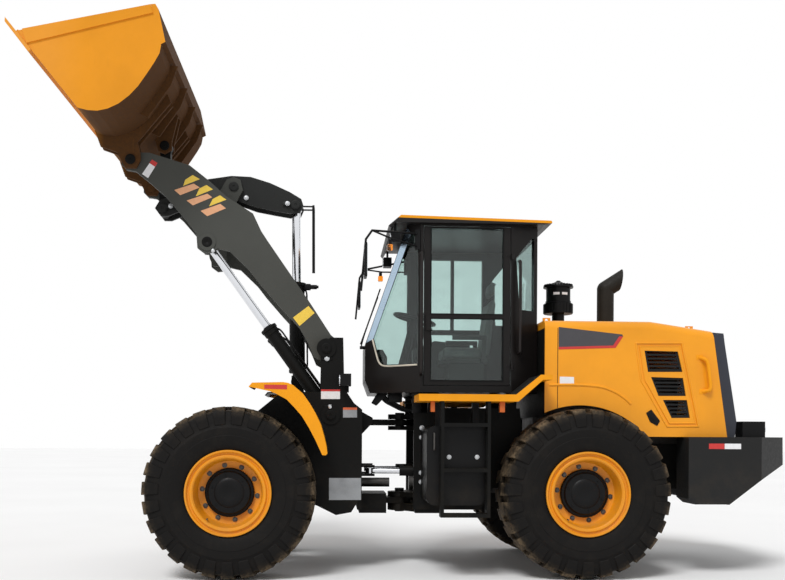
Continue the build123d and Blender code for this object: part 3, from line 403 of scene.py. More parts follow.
def addRod(shape, start, end, radius, parts=20, soft=0.0):
    way = end - start
    matrix = Matrix.Translation((start + end) / 2) @ way.to_track_quat("Z", "Y").to_matrix().to_4x4()
    made = bmesh.ops.create_cone(shape, cap_ends=True, segments=parts, radius1=radius, radius2=radius,
                                 depth=way.length, matrix=matrix)
    if soft:
        caps = {edge for vert in made["verts"] for edge in vert.link_edges
                if any(len(face.verts) > 4 for face in edge.link_faces)}
        soften(shape, caps, soft)


def addPlate(shape, points, low, high, soft=0.0):
    # an outline seen from the side, in millimetres, made a plate between two lateral places
    corners = [shape.verts.new(spot(x, low, z)) for x, z in points]
    far = pushed(shape, [shape.faces.new(corners)], (0, (high - low) / 1000, 0))
    if soft:
        rims = {edge for vert in corners + far for edge in vert.link_edges}
        soften(shape, rims, soft)


def addSpin(shape, centre, way, profile, steps=64):
    # profile: distance along the axis and radius, in metres
    way = way.normalized()
    out = way.orthogonal().normalized()
    verts = [shape.verts.new(centre + way * along + out * radius) for along, radius in profile]
    edges = [shape.edges.new(pair) for pair in zip(verts, verts[1:])]
    bmesh.ops.spin(shape, geom=verts + edges, cent=centre, axis=way, angle=math.tau, steps=steps,
                   use_merge=True, use_normal_flip=False, use_duplicate=False)


def addBolt(shape, place, way, size):
    # a washer and a six-sided head
    way = way.normalized()
    addRod(shape, place, place + way * size * 0.2, size * 1.35, parts=16)
    addRod(shape, place + way * size * 0.19, place + way * size * 0.9, size, parts=6, soft=size * 0.08)


def addTube(shape, points, radius):
    # a pipe along a smooth line, taken from a curve's own mesh
    curve = bpy.data.curves.new("line", "CURVE")
    curve.dimensions = "3D"
    curve.bevel_depth = radius
    curve.bevel_resolution = 3
    curve.resolution_u = 6
    curve.use_fill_caps = True
    line = curve.splines.new("NURBS")
    line.points.add(len(points) - 1)
    for point, place in zip(line.points, points):
        point.co = (*place, 1)
    line.order_u = 3
    line.use_endpoint_u = True
    holder = placed("line", curve)
    mesh = bpy.data.meshes.new_from_object(holder)
    shape.from_mesh(mesh)
    bpy.data.objects.remove(holder)
    bpy.data.curves.remove(curve)
    bpy.data.meshes.remove(mesh)


def joinInto(shape, other):
    mesh = asMesh("part", other)
    shape.from_mesh(mesh)
    bpy.data.meshes.remove(mesh)


def addDecals(body, face, films):
    # blank films on both sides: material, outlines in millimetres forward of the rear axle and up,
    # how far off the face each lies, and how thick it is
    for name, (material, outlines, lift, thick) in films.items():
        shape = bmesh.new()
        for hand in hands:
            for points in outlines:
                addPlate(shape, points, hand * (face + lift), hand * (face + lift + thick))
        newPiece(name, shape, material, body)


left = Vector((0, 1, 0))
up = Vector((0, 0, 1))

# wheels: tyre and rim of each, spun about the hub

tyre = {
    # across the tread and out from the hub, in metres; flare and dusty are where each starts and its span
    "lugs": 27, "steps": 108,
    "lugWidth": 0.114, "sideWidth": 0.09, "halfTread": 0.236, "lean": 0.018,
    "bead": (0.2, 0.34), "flare": (0.58, 0.16), "dusty": (0.69, 0.035),
    "wall": [(0.216, 0.362), (0.232, 0.382), (0.246, 0.42), (0.2555, 0.468), (0.2585, 0.492), (0.2555, 0.496),
             (0.2575, 0.53), (0.2575, 0.56), (0.2535, 0.566), (0.25, 0.61), (0.243, 0.655), (0.232, 0.69),
             (0.212, 0.706), (0.12, 0.712), (0.0, 0.714)],
    "lug": [(-0.05, 0.7), (-0.05, 0.7425), (0.08, 0.7435), (0.18, 0.7405), (0.225, 0.7285), (0.2495, 0.698),
            (0.2585, 0.65), (0.2585, 0.585), (0.24, 0.578), (0.2, 0.66)],
}
rim = {
    "wheelBolts": {"count": 10, "first": 0.12, "along": 0.075, "reach": 0.24, "size": 0.017},
    "hubBolts": {"count": 6, "first": 0.3, "along": 0.136, "reach": 0.155, "size": 0.009},
    "valve": {"turn": -0.9, "along": 0.2, "reach": 0.28, "length": 0.05, "radius": 0.006},
    "profile": [(0.215, 0.3), (0.215, 0.366), (0.222, 0.37), (0.242, 0.37), (0.246, 0.366), (0.246, 0.356),
                (0.238, 0.35), (0.226, 0.349), (0.222, 0.344), (0.222, 0.332), (0.228, 0.327), (0.236, 0.325),
                (0.24, 0.32), (0.238, 0.306), (0.228, 0.296), (0.19, 0.288), (0.1, 0.282), (0.082, 0.272),
                (0.076, 0.25), (0.076, 0.2)],
    "inside": [(0.06, 0.2), (0.056, 0.27), (0.05, 0.296), (-0.216, 0.3), (-0.246, 0.31), (-0.246, 0.37),
               (-0.216, 0.37), (-0.21, 0.335), (0.2, 0.335), (0.215, 0.345), (0.215, 0.366)],
    "hub": [(0.06, 0.214), (0.105, 0.212), (0.112, 0.206), (0.118, 0.188), (0.13, 0.183), (0.136, 0.176),
            (0.137, 0.13), (0.143, 0.122), (0.148, 0.1), (0.149, 0.06), (0.146, 0.05), (0.146, 0.0)],
    "drum": [(0.06, 0.21), (-0.06, 0.205), (-0.19, 0.19), (-0.205, 0.18), (-0.205, 0.0)],
}


def makeTyre(name, centre, hand):
    shape = bmesh.new()
    wall = tyre["wall"]
    inner = [(-y, r) for y, r in wall[:-1]]
    foot, bead = tyre["bead"]
    addSpin(shape, centre, left * hand, [(0.0, bead), (foot, bead)] + wall + inner[::-1]
            + [(-foot, bead), (0.0, bead)], tyre["steps"])
    bmesh.ops.remove_doubles(shape, verts=shape.verts, dist=0.0001)
    bmesh.ops.recalc_face_normals(shape, faces=shape.faces)
    flareStart, flareSpan = tyre["flare"]
    for across, phase in ((1, 0.0), (-1, 0.5)):
        lug = bmesh.new()
        block = [lug.verts.new(centre + Vector((0, hand * across * y, r))) for y, r in tyre["lug"]]
        far = pushed(lug, [lug.faces.new(block)])
        for group, way in ((block, -0.5), (far, 0.5)):
            for vert in group:
                reach = min(max((vert.co.z - centre.z - flareStart) / flareSpan, 0), 1)
                width = tyre["sideWidth"] + (tyre["lugWidth"] - tyre["sideWidth"]) * reach
                lean = tyre["lean"] * (1 - abs(vert.co.y - centre.y) / tyre["halfTread"])
                vert.co.x += way * width + lean * across * hand
        bmesh.ops.recalc_face_normals(lug, faces=lug.faces)
        soften(lug, list(lug.edges), 0.005, 1)
        bmesh.ops.rotate(lug, verts=lug.verts, cent=centre,
                         matrix=Matrix.Rotation((phase + 0.5) * math.tau / tyre["lugs"], 3, "Y"))
        bmesh.ops.spin(lug, geom=lug.verts[:] + lug.edges[:] + lug.faces[:], cent=centre, axis=left,
                       angle=math.tau, steps=tyre["lugs"], use_merge=False, use_duplicate=True)
        bmesh.ops.remove_doubles(lug, verts=lug.verts, dist=0.0001)
        joinInto(shape, lug)
    piece = newPiece(name, shape, tyreRubber, name.replace("tread", "wheel"), 30, False)
    tread = piece.data.attributes.new("tread", "FLOAT", "POINT")
    dustStart, dustSpan = tyre["dusty"]
    for vert in piece.data.vertices:
        flat = vert.co - centre
        tread.data[vert.index].value = min(max((math.hypot(flat.x, flat.z) - dustStart) / dustSpan, 0), 1)
    return piece


def addBoltRing(shape, centre, way, ring):
    for i in range(ring["count"]):
        turn = i * math.tau / ring["count"] + ring["first"]
        out = Vector((math.cos(turn), 0, math.sin(turn)))
        addBolt(shape, centre + way * ring["along"] + out * ring["reach"], way, ring["size"])


def makeRim(name, centre, hand):
    way = left * hand
    body = name.replace("rim", "wheel")
    shape = bmesh.new()
    addSpin(shape, centre, way, rim["profile"] + rim["inside"], 96)
    piece = newPiece(name, shape, rimPaint, body, 28)
    shape = bmesh.new()
    addSpin(shape, centre, way, rim["hub"], 72)
    addSpin(shape, centre, way, rim["drum"], 48)
    addBoltRing(shape, centre, way, rim["hubBolts"])
    newPiece(name.replace("rim", "hub"), shape, blackPlastic, body, 28)
    shape = bmesh.new()
    addBoltRing(shape, centre, way, rim["wheelBolts"])
    valve = rim["valve"]
    out = Vector((math.cos(valve["turn"]), 0, math.sin(valve["turn"])))
    stem = centre + way * valve["along"] + out * valve["reach"]
    addRod(shape, stem, stem + way * valve["length"], valve["radius"], parts=10)
    newPiece(name.replace("rim", "wheelBolts"), shape, shaftSteel, body, 30)
    return piece


for hand, mark in zip(hands, ("left", "right")):
    for end in ("front", "rear"):
        place = end + "_" + mark
        centre = pivot("wheel_spin_" + place)
        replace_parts(makeTyre("tread_" + place, centre, hand), "tyre_" + place)
        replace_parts(makeRim("rim_" + place, centre, hand), "wheel_" + place)
print("wheels made")


# working arm: stripes, blank signs, pins, glands and pipes

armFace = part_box("arm")[1].y * 1000 - 8  # outer face of the arm's plates
armFilms = {
    "armStripesYellow": (yellowFilm, [[(3592, 3514), (3573, 3571), (3506, 3615), (3441, 3579)],
                                      [(3477, 3421), (3445, 3493), (3380, 3526), (3321, 3487)],
                                      [(3356, 3331), (3323, 3399), (3257, 3434), (3199, 3395)]], 0, 1.2),
    "armStripesSalmon": (salmonFilm, [[(3672, 3475), (3497, 3537), (3441, 3502), (3618, 3429)],
                                      [(3559, 3381), (3372, 3447), (3327, 3415), (3502, 3338)],
                                      [(3432, 3289), (3254, 3356), (3202, 3316), (3372, 3241)]], 0, 1.2),
    "armLabels": (yellowFilm, [[(2584, 2323), (2443, 2431), (2387, 2367), (2524, 2246)]], 0, 1.2),
    "armSigns": (whiteFilm, [[(3964, 3616), (3875, 3750), (3825, 3719), (3910, 3580)]], 0, 1.2),
    "armSignEnds": (redFilm, [[(3897, 3716), (3875, 3750), (3825, 3719), (3846, 3684)]], 1.2, 0.6),
}
addDecals("arm", armFace, armFilms)

pins = {
    # place, lateral face, radius, body, keeper bolt or none
    "armFoot": ((2276, 2040), 609, 36, front, (2270, 1945)),
    "liftFoot": ((2236, 1430), 609, 36, front, (2240, 1502)),
    "rocker": ((3172, 3612), 160, 36, "arm", None),
    "bucket": ((4060, 3735), 585, 36, "bucket", None),
    "link": ((3840, 4010), 95, 36, "bucket", None),
    "liftEye": ((3372, 3005), 538, 38, "arm", (3317, 2923)),
    "rockerRear": ((2583, 3456), 131, 36, "rocker", (2661, 3464)),
    "rockerFront": ((3849, 3404), 131, 36, "rocker", (3772, 3420)),
    "rockerMiddle": ((3056, 3515), 115, 0, "rocker", (3056, 3515)),
}
cap = {"rim": 0.01, "depth": 0.008, "hollow": 0.012, "bolt": 0.017, "boltFace": 586, "keeper": (0.05, 0.006, 0.016)}
for name, (place, face, radius, body, bolt) in pins.items():
    shape, keeper = bmesh.new(), bmesh.new()
    flat = name == "liftEye"  # low fittings, where the tower's plates pass
    for hand in hands:
        way = left * hand
        if radius:
            wide = radius / 1000
            squash = 0.5 if flat else 1.0
            profile = [(0, wide + cap["rim"]), (0.003, wide + cap["rim"]), (0.005, wide), (cap["depth"], wide),
                       (cap["depth"], cap["hollow"]), (0.004, 0.009), (0.004, 0)]
            addSpin(shape, spot(place[0], hand * face, place[1]), way,
                    [(along * squash, reach) for along, reach in profile], 32)
        if bolt and flat:
            foot = spot(bolt[0], hand * (face - 8), bolt[1])
            addRod(keeper, foot, foot + way * 0.012, cap["bolt"], parts=16, soft=0.002)
        elif bolt:
            foot = spot(bolt[0], hand * min(face, cap["boltFace"]), bolt[1])
            long, thick, tall = cap["keeper"]
            if radius:
                addBox(shape, foot - Vector((long, 0, tall)), foot + Vector((long, 0, tall)) + way * thick, 0.002)
            addBolt(keeper, foot + way * thick, way, cap["bolt"])
    if radius:
        newPiece(titled("pin", name), shape, rockerPaint if "rocker" in name else framePaint, body)
    else:
        shape.free()
    if bolt:
        newPiece(titled("keeper", name), keeper, boltSteel, body)
    else:
        keeper.free()

# cylinders: glands, steel pipes along the barrels, and the bucket leveller
lines = {
    # body, base, eye, lateral place, barrel length, barrel radius
    "liftLeft": ("lift_cylinder_left_barrel", (2236, 1430), (3372, 3005), 405, 1.0, 0.063),
    "liftRight": ("lift_cylinder_right_barrel", (2236, 1430), (3372, 3005), -405, 1.0, 0.063),
    "tilt": ("tilt_cylinder_barrel", (2560, 1760), (2583, 3456), 0, 0.96, 0.075),
}
pipe = {"apart": 0.024, "stand": 0.022, "radius": 0.008, "clamps": (0.3, 0.62), "clamp": (0.014, 0.045, 0.03)}
for name, (body, base, eye, y, length, wide) in lines.items():
    start = spot(base[0], y, base[1])
    axis = (spot(eye[0], y, eye[1]) - start).normalized()
    out = Vector((-axis.z, 0, axis.x))
    shape = bmesh.new()
    addSpin(shape, start + axis * length, axis,
            [(-0.075, wide), (-0.075, wide + 0.008), (-0.035, wide + 0.01), (-0.03, wide + 0.016),
             (-0.004, wide + 0.016), (0.0, wide + 0.012), (0.0, 0.046), (0.012, 0.044), (0.012, 0.0375)], 40)
    addSpin(shape, start + axis * 0.09, axis,
            [(0.0, wide), (0.0, wide + 0.008), (0.03, wide + 0.008), (0.03, wide)], 40)
    newPiece(titled("gland", name), shape, framePaint, body)
    shape = bmesh.new()
    high = wide + pipe["stand"]
    route = ((0.13, wide), (0.14, high), (0.2, high), (length - 0.16, high), (length - 0.08, high),
             (length - 0.06, wide + 0.004))
    for side in (left * pipe["apart"], left * -pipe["apart"]):
        addTube(shape, [start + axis * along + out * reach + side for along, reach in route], pipe["radius"])
    thick, half, tall = pipe["clamp"]
    for along in pipe["clamps"]:
        foot = start + axis * along + out * wide
        addBox(shape, foot - Vector((thick, half, thick)), foot + out * tall + Vector((thick, half, thick)), 0.003)
    newPiece(titled("pipes", name), shape, blackPlastic, body)

leveller = {
    # outlines or corners in millimetres, with the lateral places of each
    "blades": (([(2396, 2824), (2424, 2824), (2428, 3467), (2402, 3467)], -22, -14),
               ([(2396, 2900), (2410, 2900), (2414, 3440), (2400, 3440)], 10, 22)),
    "rods": (3436, 3470), "end": ([(2404, 3426), (2425, 3426), (2425, 3480), (2404, 3480)], -24, 24),
    "block": ((2436, 13, 2650), (2505, 40, 2712)), "cheek": ((2376, 28, 2660), (2440, 40, 2702)),
    "button": ((2400, 44, 2681), (2360, 44, 2681)),
}
shape = bmesh.new()
for points, low, high in leveller["blades"]:
    addPlate(shape, points, low, high)
for z in leveller["rods"]:
    addRod(shape, spot(2530, 0, z), spot(2404, 0, z), 0.008, parts=12)
addPlate(shape, *leveller["end"], 0.002)
newPiece("levellerBar", shape, blackPlastic, "tilt_cylinder_rod")
shape = bmesh.new()
for key, soft in (("block", 0.006), ("cheek", 0.003)):  # the cheek lies beside the bar's way
    addBox(shape, spot(*leveller[key][0]), spot(*leveller[key][1]), soft)
addRod(shape, spot(*leveller["button"][0]), spot(*leveller["button"][1]), 0.014, soft=0.003)
newPiece("levellerSensor", shape, blackPlastic, "tilt_cylinder_barrel")
print("arm dressed")

# hood: bare badge, label and locks, and reflectors on the counterweight

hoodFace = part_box("hood")[1].y * 1000
hoodFilms = {
    "hoodBadge": (greyFilm, [[(202, 2224), (-373, 2163), (-381, 2146), (-313, 2042), (201, 2023)]], 0, 1.2),
    "hoodBadgeEdge": (redFilm, [[(201, 2045), (201, 2023), (-313, 2042), (-381, 2146), (-345, 2146),
                                 (-290, 2063)]], 1.5, 1.2),
    "hoodLabel": (whiteFilm, [[(190, 1781), (62, 1778), (61, 1716), (190, 1718)]], 0, 1.2),
}
addDecals(rear, hoodFace, hoodFilms)
lockFoot = [(-593, 1461), (-640, 1493), (-721, 1390), (-694, 1345), (-630, 1380)]
shape = bmesh.new()
for hand in hands:
    addPlate(shape, lockFoot, hand * (hoodFace - 2), hand * (hoodFace + 6), 0.002)
    addRod(shape, spot(-655, hand * hoodFace, 1420), spot(-655, hand * (hoodFace + 12), 1420), 0.02, soft=0.003)
newPiece("hoodLocks", shape, blackPlastic, rear)

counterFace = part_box("counterweight")[1].y * 1000
reflectorFilms = {
    name: (material, [[(x0, 1143), (x0, 1191), (x1, 1191), (x1, 1143)]], 0, 2)
    for name, material, x0, x1 in (("reflectorRed", redFilm, -1121, -1261),
                                   ("reflectorWhite", whiteFilm, -1263, -1411))}
addDecals(rear, counterFace, reflectorFilms)
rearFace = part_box("counterweight")[0].x
shape = bmesh.new()
for hand in hands:
    middle = Vector((rearFace + 0.0055, hand * 0.4, 1.13))
    half = Vector((0.005, 0.09, 0.02))
    addBox(shape, middle - half, middle + half, 0.002)
newPiece("rearReflectors", shape, redLens, rear)

# round lamps: tail lamps on the counterweight, work lamps under the roof
lamp = {
    # distance out of the face and radius, of the lens and of its ring
    "tail": ([(0, 0.022), (0.006, 0.022), (0.012, 0.0154), (0.014, 0)],
             [(0, 0.03), (0.005, 0.03), (0.008, 0.026), (0.008, 0.022), (0, 0.022)]),
    "work": ([(0, 0.04), (0.004, 0.04), (0.009, 0.028), (0.011, 0)],
             [(0, 0.046), (0.006, 0.046), (0.008, 0.042), (0.008, 0.04), (0, 0.04)]),
    "head": ([(0, 0.045), (0.005, 0.045), (0.01, 0.03), (0.012, 0)],
             [(0, 0.052), (0.007, 0.052), (0.01, 0.047), (0.01, 0.045), (0, 0.045)]),
}


def addLamp(lens, ring, face, x, kind):
    for shape, profile in zip((lens, ring), lamp[kind]):
        addSpin(shape, face, Vector((x, 0, 0)), profile, 32)


shapeRed, shapeAmber, shapeClear, shapeRing = (bmesh.new() for i in range(4))
for hand in hands:
    for y, lens in ((667, shapeAmber), (720, shapeRed), (773, shapeClear)):
        addLamp(lens, shapeRing, spot(-1722, hand * y, 1322), -1, "tail")
    addLamp(shapeClear, shapeRing, spot(1697, hand * 645, 3048), 1, "work")
newPiece("tailLensRed", shapeRed, redLens, rear)
newPiece("tailLensAmber", shapeAmber, amberLens, rear)
newPiece("lampLensClear", shapeClear, clearLens, rear)
newPiece("lampRings", shapeRing, rodChrome, rear)

# front lamps, fender reflectors and blank signs on the tower
towerFace = 585  # outer face of the tower's plates, in millimetres
towerFilms = {
    "towerSign": (whiteFilm, [[(2323, 1662), (2149, 1663), (2149, 1576), (2322, 1575)]], 0, 1.2),
    "towerSignTop": (redFilm, [[(2323, 1662), (2149, 1663), (2149, 1646), (2323, 1645)]], 1, 1.2),
    "towerLabel": (plateFilm, [[(2121, 1480), (1993, 1480), (1992, 1408), (2120, 1407)]], 0, 1.2),
    "towerLabelTop": (orangeFilm, [[(2121, 1499), (1993, 1499), (1993, 1478), (2121, 1478)]], 1, 1.2),
    "towerPlate": (plateFilm, [[(2245, 853), (1952, 854), (1951, 653), (2244, 652)]], 0, 1.2),
}
addDecals(front, towerFace, towerFilms)
fenderFilms = {"fenderReflectors": (redFilm, [[(2795, 1672), (2603, 1672), (2603, 1634), (2795, 1638)]], 0, 2)}
addDecals(front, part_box("front_fenders")[1].y * 1000, fenderFilms)
shapeClear, shapeRing = bmesh.new(), bmesh.new()
for hand in hands:
    addLamp(shapeClear, shapeRing, spot(2150, hand * 675, 1745), 1, "head")
newPiece("headLens", shapeClear, clearLens, front)
newPiece("headRings", shapeRing, rodChrome, front)
print("signs and lamps made")

# cab: pale strips of painted reflection along the windscreen pillars, window trim, wiper, marker lamps, mirror faces
# and seals
cab = {
    # millimetres forward and up, or forward, to the left and up; panes are low and high corners
    "pillar": [(1543, 3150), (1506, 3094), (1838, 2146), (1904, 2108)],
    "trim": [(1450, 1890), (1600, 1886), (1740, 1884), (1786, 1912), (1812, 2000), (1846, 2140)],
    "wiperArm": [(1950, 250, 2078), (1944, 250, 2110), (1905, 245, 2250), (1792, 238, 2560)],
    "wiperBlade": [(1955, 238, 2110), (1875, 238, 2330), (1770, 238, 2640)],
    "wiperHub": ((1915, 250, 2078), (1962, 250, 2078)),
    "markerBase": ((1700, 838, 2942), (1732, 882, 2986)), "marker": ((1690, 832, 2886), (1742, 888, 2942)),
    "mirror": ((1922, 978, 2624), (1926, 1132, 2896)),
    "panes": [(972, 2344, 1328, 3098), (642, 2344, 958, 3098), (642, 1747, 1328, 2313)],
    "doorPanes": [(664, 2344, 1338, 3136), (664, 1740, 1338, 2316)],
    "wall": 700, "sealWidth": 12, "sealThick": 4,
}


def noseSpot(x, z, hand, lift):  # a place on the slanted wall beside the windscreen
    return spot(x + 0.5586 * lift, hand * (cab["wall"] - (x - 1425) * 0.6735 + 0.8294 * lift), z)


def pairBoxes(name, corners, soft, material):
    shape = bmesh.new()
    for hand in hands:
        low, high = (spot(x, hand * y, z) for x, y, z in corners)
        addBox(shape, low, high, soft)
    newPiece(name, shape, material, rear)


# pale blue strips beside the windscreen: a painted reflection of its glass edge
shape = bmesh.new()
for hand in hands:
    face = shape.faces.new([shape.verts.new(noseSpot(x, z, hand, 0.5)) for x, z in cab["pillar"]])
    pushed(shape, [face], (0.003, hand * 0.0045, 0))
newPiece("pillarStrips", shape, pillarFilm, rear)
shape = bmesh.new()
for hand in hands:
    addTube(shape, [noseSpot(x, z, hand, 3) for x, z in cab["trim"]], 0.008)
newPiece("windowTrim", shape, creamTrim, rear)
shape = bmesh.new()
for key, radius in (("wiperArm", 0.006), ("wiperBlade", 0.007)):
    addTube(shape, [spot(*point) for point in cab[key]], radius)
addRod(shape, spot(*cab["wiperHub"][0]), spot(*cab["wiperHub"][1]), 0.016, soft=0.003)
newPiece("wiper", shape, blackPlastic, rear)
pairBoxes("markerBases", cab["markerBase"], 0.004, blackPlastic)
pairBoxes("markerLamps", cab["marker"], 0.008, amberLens)
pairBoxes("mirrorFaces", cab["mirror"], 0.001, mirrorGlass)


def addSeal(shape, pane, hand):
    # a flat rubber frame round an opening, from an inset of its outline
    x0, z0, x1, z1 = pane
    rim = bmesh.new()
    corners = [rim.verts.new(spot(x, hand * cab["wall"], z)) for x, z in ((x0, z0), (x1, z0), (x1, z1), (x0, z1))]
    face = rim.faces.new(corners)
    rim.normal_update()
    ring = bmesh.ops.inset_region(rim, faces=[face], thickness=cab["sealWidth"] / 1000,
                                  use_even_offset=True, use_boundary=True)["faces"]
    bmesh.ops.delete(rim, geom=[face], context="FACES_ONLY")
    pushed(rim, ring, (0, hand * cab["sealThick"] / 1000, 0))
    joinInto(shape, rim)


for name, panes, hand, body in (("doorSeals", cab["doorPanes"], 1, "left_door"),
                                ("windowSeals", cab["panes"], -1, rear)):
    shape = bmesh.new()
    for pane in panes:
        addSeal(shape, pane, hand)
    newPiece(name, shape, sealRubber, body)

# hood: seam, wheel arch crease, panel beads and a dark box of painted shade behind the cab
panel = {
    "crease": [(287, 1705), (100, 1712), (-174, 1700), (-300, 1655), (-401, 1594), (-455, 1540)],
    "beads": (([(-498, 2088), (-918, 2092), (-1073, 1343), (-785, 1341), (-546, 1756)], 0.009),
              ([(-535, 2058), (-899, 2062), (-1041, 1372), (-806, 1370), (-582, 1760)], 0.006)),
}
pairBoxes("hoodSeams", ((206, hoodFace - 3, 1500), (212, hoodFace + 0.4, 2216)), 0, sealRubber)
shape = bmesh.new()
for hand in hands:
    addTube(shape, [spot(x, hand * (hoodFace - 4), z) for x, z in panel["crease"]], 0.013)
newPiece("archCrease", shape, bodyPaint, rear)
shape = bmesh.new()
# a dark box over the hood's front wall: painted shade in the gap behind the cab
addBox(shape, spot(325.2, -868, 1425), spot(330, 868, 2215), 0.002)
newPiece("bulkheadLining", shape, framePaint, rear)
shape = bmesh.new()
for hand in hands:
    for points, radius in panel["beads"]:
        corners = [spot(x, hand * (hoodFace - 2), z) for x, z in points]
        for start, end in zip(corners, corners[1:] + corners[:1]):
            addRod(shape, start, end, radius, parts=12)
        for corner in corners:
            bmesh.ops.create_uvsphere(shape, u_segments=12, v_segments=8, radius=radius,
                                      matrix=Matrix.Translation(corner))
newPiece("panelBeads", shape, bodyPaint, rear)

# grab bars and hood handles
bars = {  # a line of x, lateral place and height, and a radius
    "front": ([(1420, 694, 1800), (1420, 740, 1800), (1420, 760, 1822), (1420, 760, 2878), (1420, 740, 2900),
               (1420, 694, 2900)], 0.014),
    "rear": ([(520, 670, 2000), (520, 722, 2000), (520, 735, 2022), (520, 735, 2818), (520, 722, 2840),
              (520, 670, 2840)], 0.014),
    "hood": ([(-1082, 878, 1962), (-1112, 915, 1950), (-1138, 924, 1924), (-1158, 926, 1760), (-1166, 924, 1682),
              (-1150, 915, 1662), (-1112, 878, 1658)], 0.017),
}
shape = bmesh.new()
for hand in hands:
    for line, thick in bars.values():
        addTube(shape, [spot(x, hand * y, z) for x, y, z in line], thick)
    for x, z in ((-1078, 1964), (-1108, 1657)):
        addBox(shape, spot(x - 30, hand * 879 - 4, z - 24), spot(x + 30, hand * 879 + 4, z + 24), 0.003)
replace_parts(newPiece("grabBars", shape, barPaint, rear), "grab_bars")

# under the cab: heater box, short hoses, and rubber mounts
mount = {"x": 1435, "y": 452, "z": 1566}
shape = bmesh.new()
addPlate(shape, [(1795, 1644), (1690, 1644), (1800, 1526), (1850, 1552)], 205, 295, 0.008)
addBox(shape, spot(1560, 120, 1560), spot(1690, 330, 1644), 0.008)
for y, drop in ((150, 0), (195, 14), (240, 28), (285, 6), (-180, 10)):
    addTube(shape, [spot(1745, y, 1642), spot(1712, y, 1596 - drop), spot(1610, y, 1545 - drop),
                    spot(1520, y, 1500 - drop), spot(1445, y, 1490), spot(1425, y, 1448)], 0.014)
for hand in hands:
    y = hand * mount["y"]
    addBox(shape, spot(mount["x"] - 40, y - 22, 1452), spot(mount["x"] + 40, y + 22, mount["z"]), 0.004)
newPiece("cabUnderside", shape, blackPlastic, rear)
shape = bmesh.new()
for hand in hands:
    addSpin(shape, spot(mount["x"], hand * mount["y"], mount["z"]), up,
            [(0, 0.0), (0, 0.052), (0.012, 0.056), (0.024, 0.04), (0.05, 0.04), (0.062, 0.056), (0.074, 0.052),
             (0.074, 0.0)], 32)
newPiece("cabMounts", shape, cabPlastic, rear)

# air intake: fins round the cap and the bowl, a band, a knob and blank labels
intake = {"fins": 28, "capReach": 0.105, "cap": 2.733, "bowlReach": 0.14, "bowl": 2.5, "labelReach": 0.1175,
          "label": 2.64, "labelTurns": (1.2, 1.9),
          "band": (2.56, [(0, 0.118), (0, 0.124), (0.014, 0.124), (0.014, 0.118)], 48),
          "knob": (2.765, [(0, 0.03), (0.004, 0.03), (0.006, 0.02), (0.014, 0.018), (0.016, 0)], 24)}
stack = Vector((rearAxle.x, 0, 0))


def addRound(shape, turn, reach, z, low, high):
    # a small block set round the intake's middle
    middle = stack + Vector((math.cos(turn), math.sin(turn), 0)) * reach + up * z
    addBox(shape, middle + Vector(low), middle + Vector(high), 0, Matrix.Rotation(turn, 4, "Z"))


shape = bmesh.new()
for i in range(intake["fins"]):
    turn = i * math.tau / intake["fins"]
    addRound(shape, turn, intake["capReach"], intake["cap"], (-0.036, -0.003, -0.02), (0.036, 0.003, 0.006))
    addRound(shape, turn, intake["bowlReach"], intake["bowl"], (-0.004, -0.006, -0.044), (0.006, 0.006, 0.044))
for key in ("band", "knob"):
    z, profile, steps = intake[key]
    addSpin(shape, stack + up * z, up, profile, steps)
newPiece("intakeFins", shape, blackPlastic, rear)
shape = bmesh.new()
for turn in intake["labelTurns"]:
    addRound(shape, turn, intake["labelReach"], intake["label"], (-0.001, -0.03, -0.012), (0.0012, 0.03, 0.012))
newPiece("intakeLabels", shape, whiteFilm, rear)

# chassis: platform brackets, bolts and tank handles
shape = bmesh.new()
for hand in hands:
    for x0, x1 in ((1336, 1371), (730, 774)):
        addBox(shape, spot(x0, hand * 1090, 1452), spot(x1, hand * 1150, 1545), 0.003)
newPiece("platformBrackets", shape, orangeBracket, rear)
shape = bmesh.new()
for hand in hands:
    for y, size, places in ((475, 0.017, ((1386, 1318), (1389, 1229), (1391, 900), (1391, 814))),
                            (1050, 0.015, ((1200, 1062), (955, 1063)))):
        for x, z in places:
            addBolt(shape, spot(x, hand * y, z), left * hand, size)
newPiece("chassisBolts", shape, boltSteel, rear)
shape = bmesh.new()
for hand in hands:
    addTube(shape, [spot(1333, hand * y, z) for y, z in ((1048, 1122), (1080, 1122), (1084, 1140), (1084, 1252),
                                                         (1080, 1270), (1048, 1270))], 0.008)
newPiece("tankHandles", shape, shaftSteel, rear)
print("chassis dressed")

# padded seat
seat = {
    # low and high corners in millimetres, and how far each leans back over its height
    "seatCushion": ((790, -225, 1990), (1170, 225, 2082), 0.0),
    "seatBack": ((730, -220, 2000), (775, 220, 2560), -0.125),
    "seatHead": ((665, -125, 2600), (705, 125, 2740), -0.1),
    "voxel": 0.006, "quickVoxel": 0.015, "cap": 0.014, "pressure": 4, "steps": 20, "weave": 160.0,
}
seatCloth = Finish("seatCloth", Sheen_Weight=0.3, Sheen_Roughness=0.5)
threads = [seatCloth.node("ShaderNodeTexWave", {"wave_type": "BANDS", "bands_direction": way},
                          {"Vector": seatCloth.place(), "Scale": seat["weave"], "Distortion": 0.4}) * 0.5
           for way in "XY"]
weave = threads[0] + threads[1]
seatCloth.set("Base Color", seatCloth.mix(weave, tone(74, 78, 76), tone(122, 126, 122)))
seatCloth.set("Roughness", seatCloth.between(weave, 0.2, 0.8, 0.75, 0.95))
seatCloth.set("Normal", seatCloth.bump(weave, 0.0006))


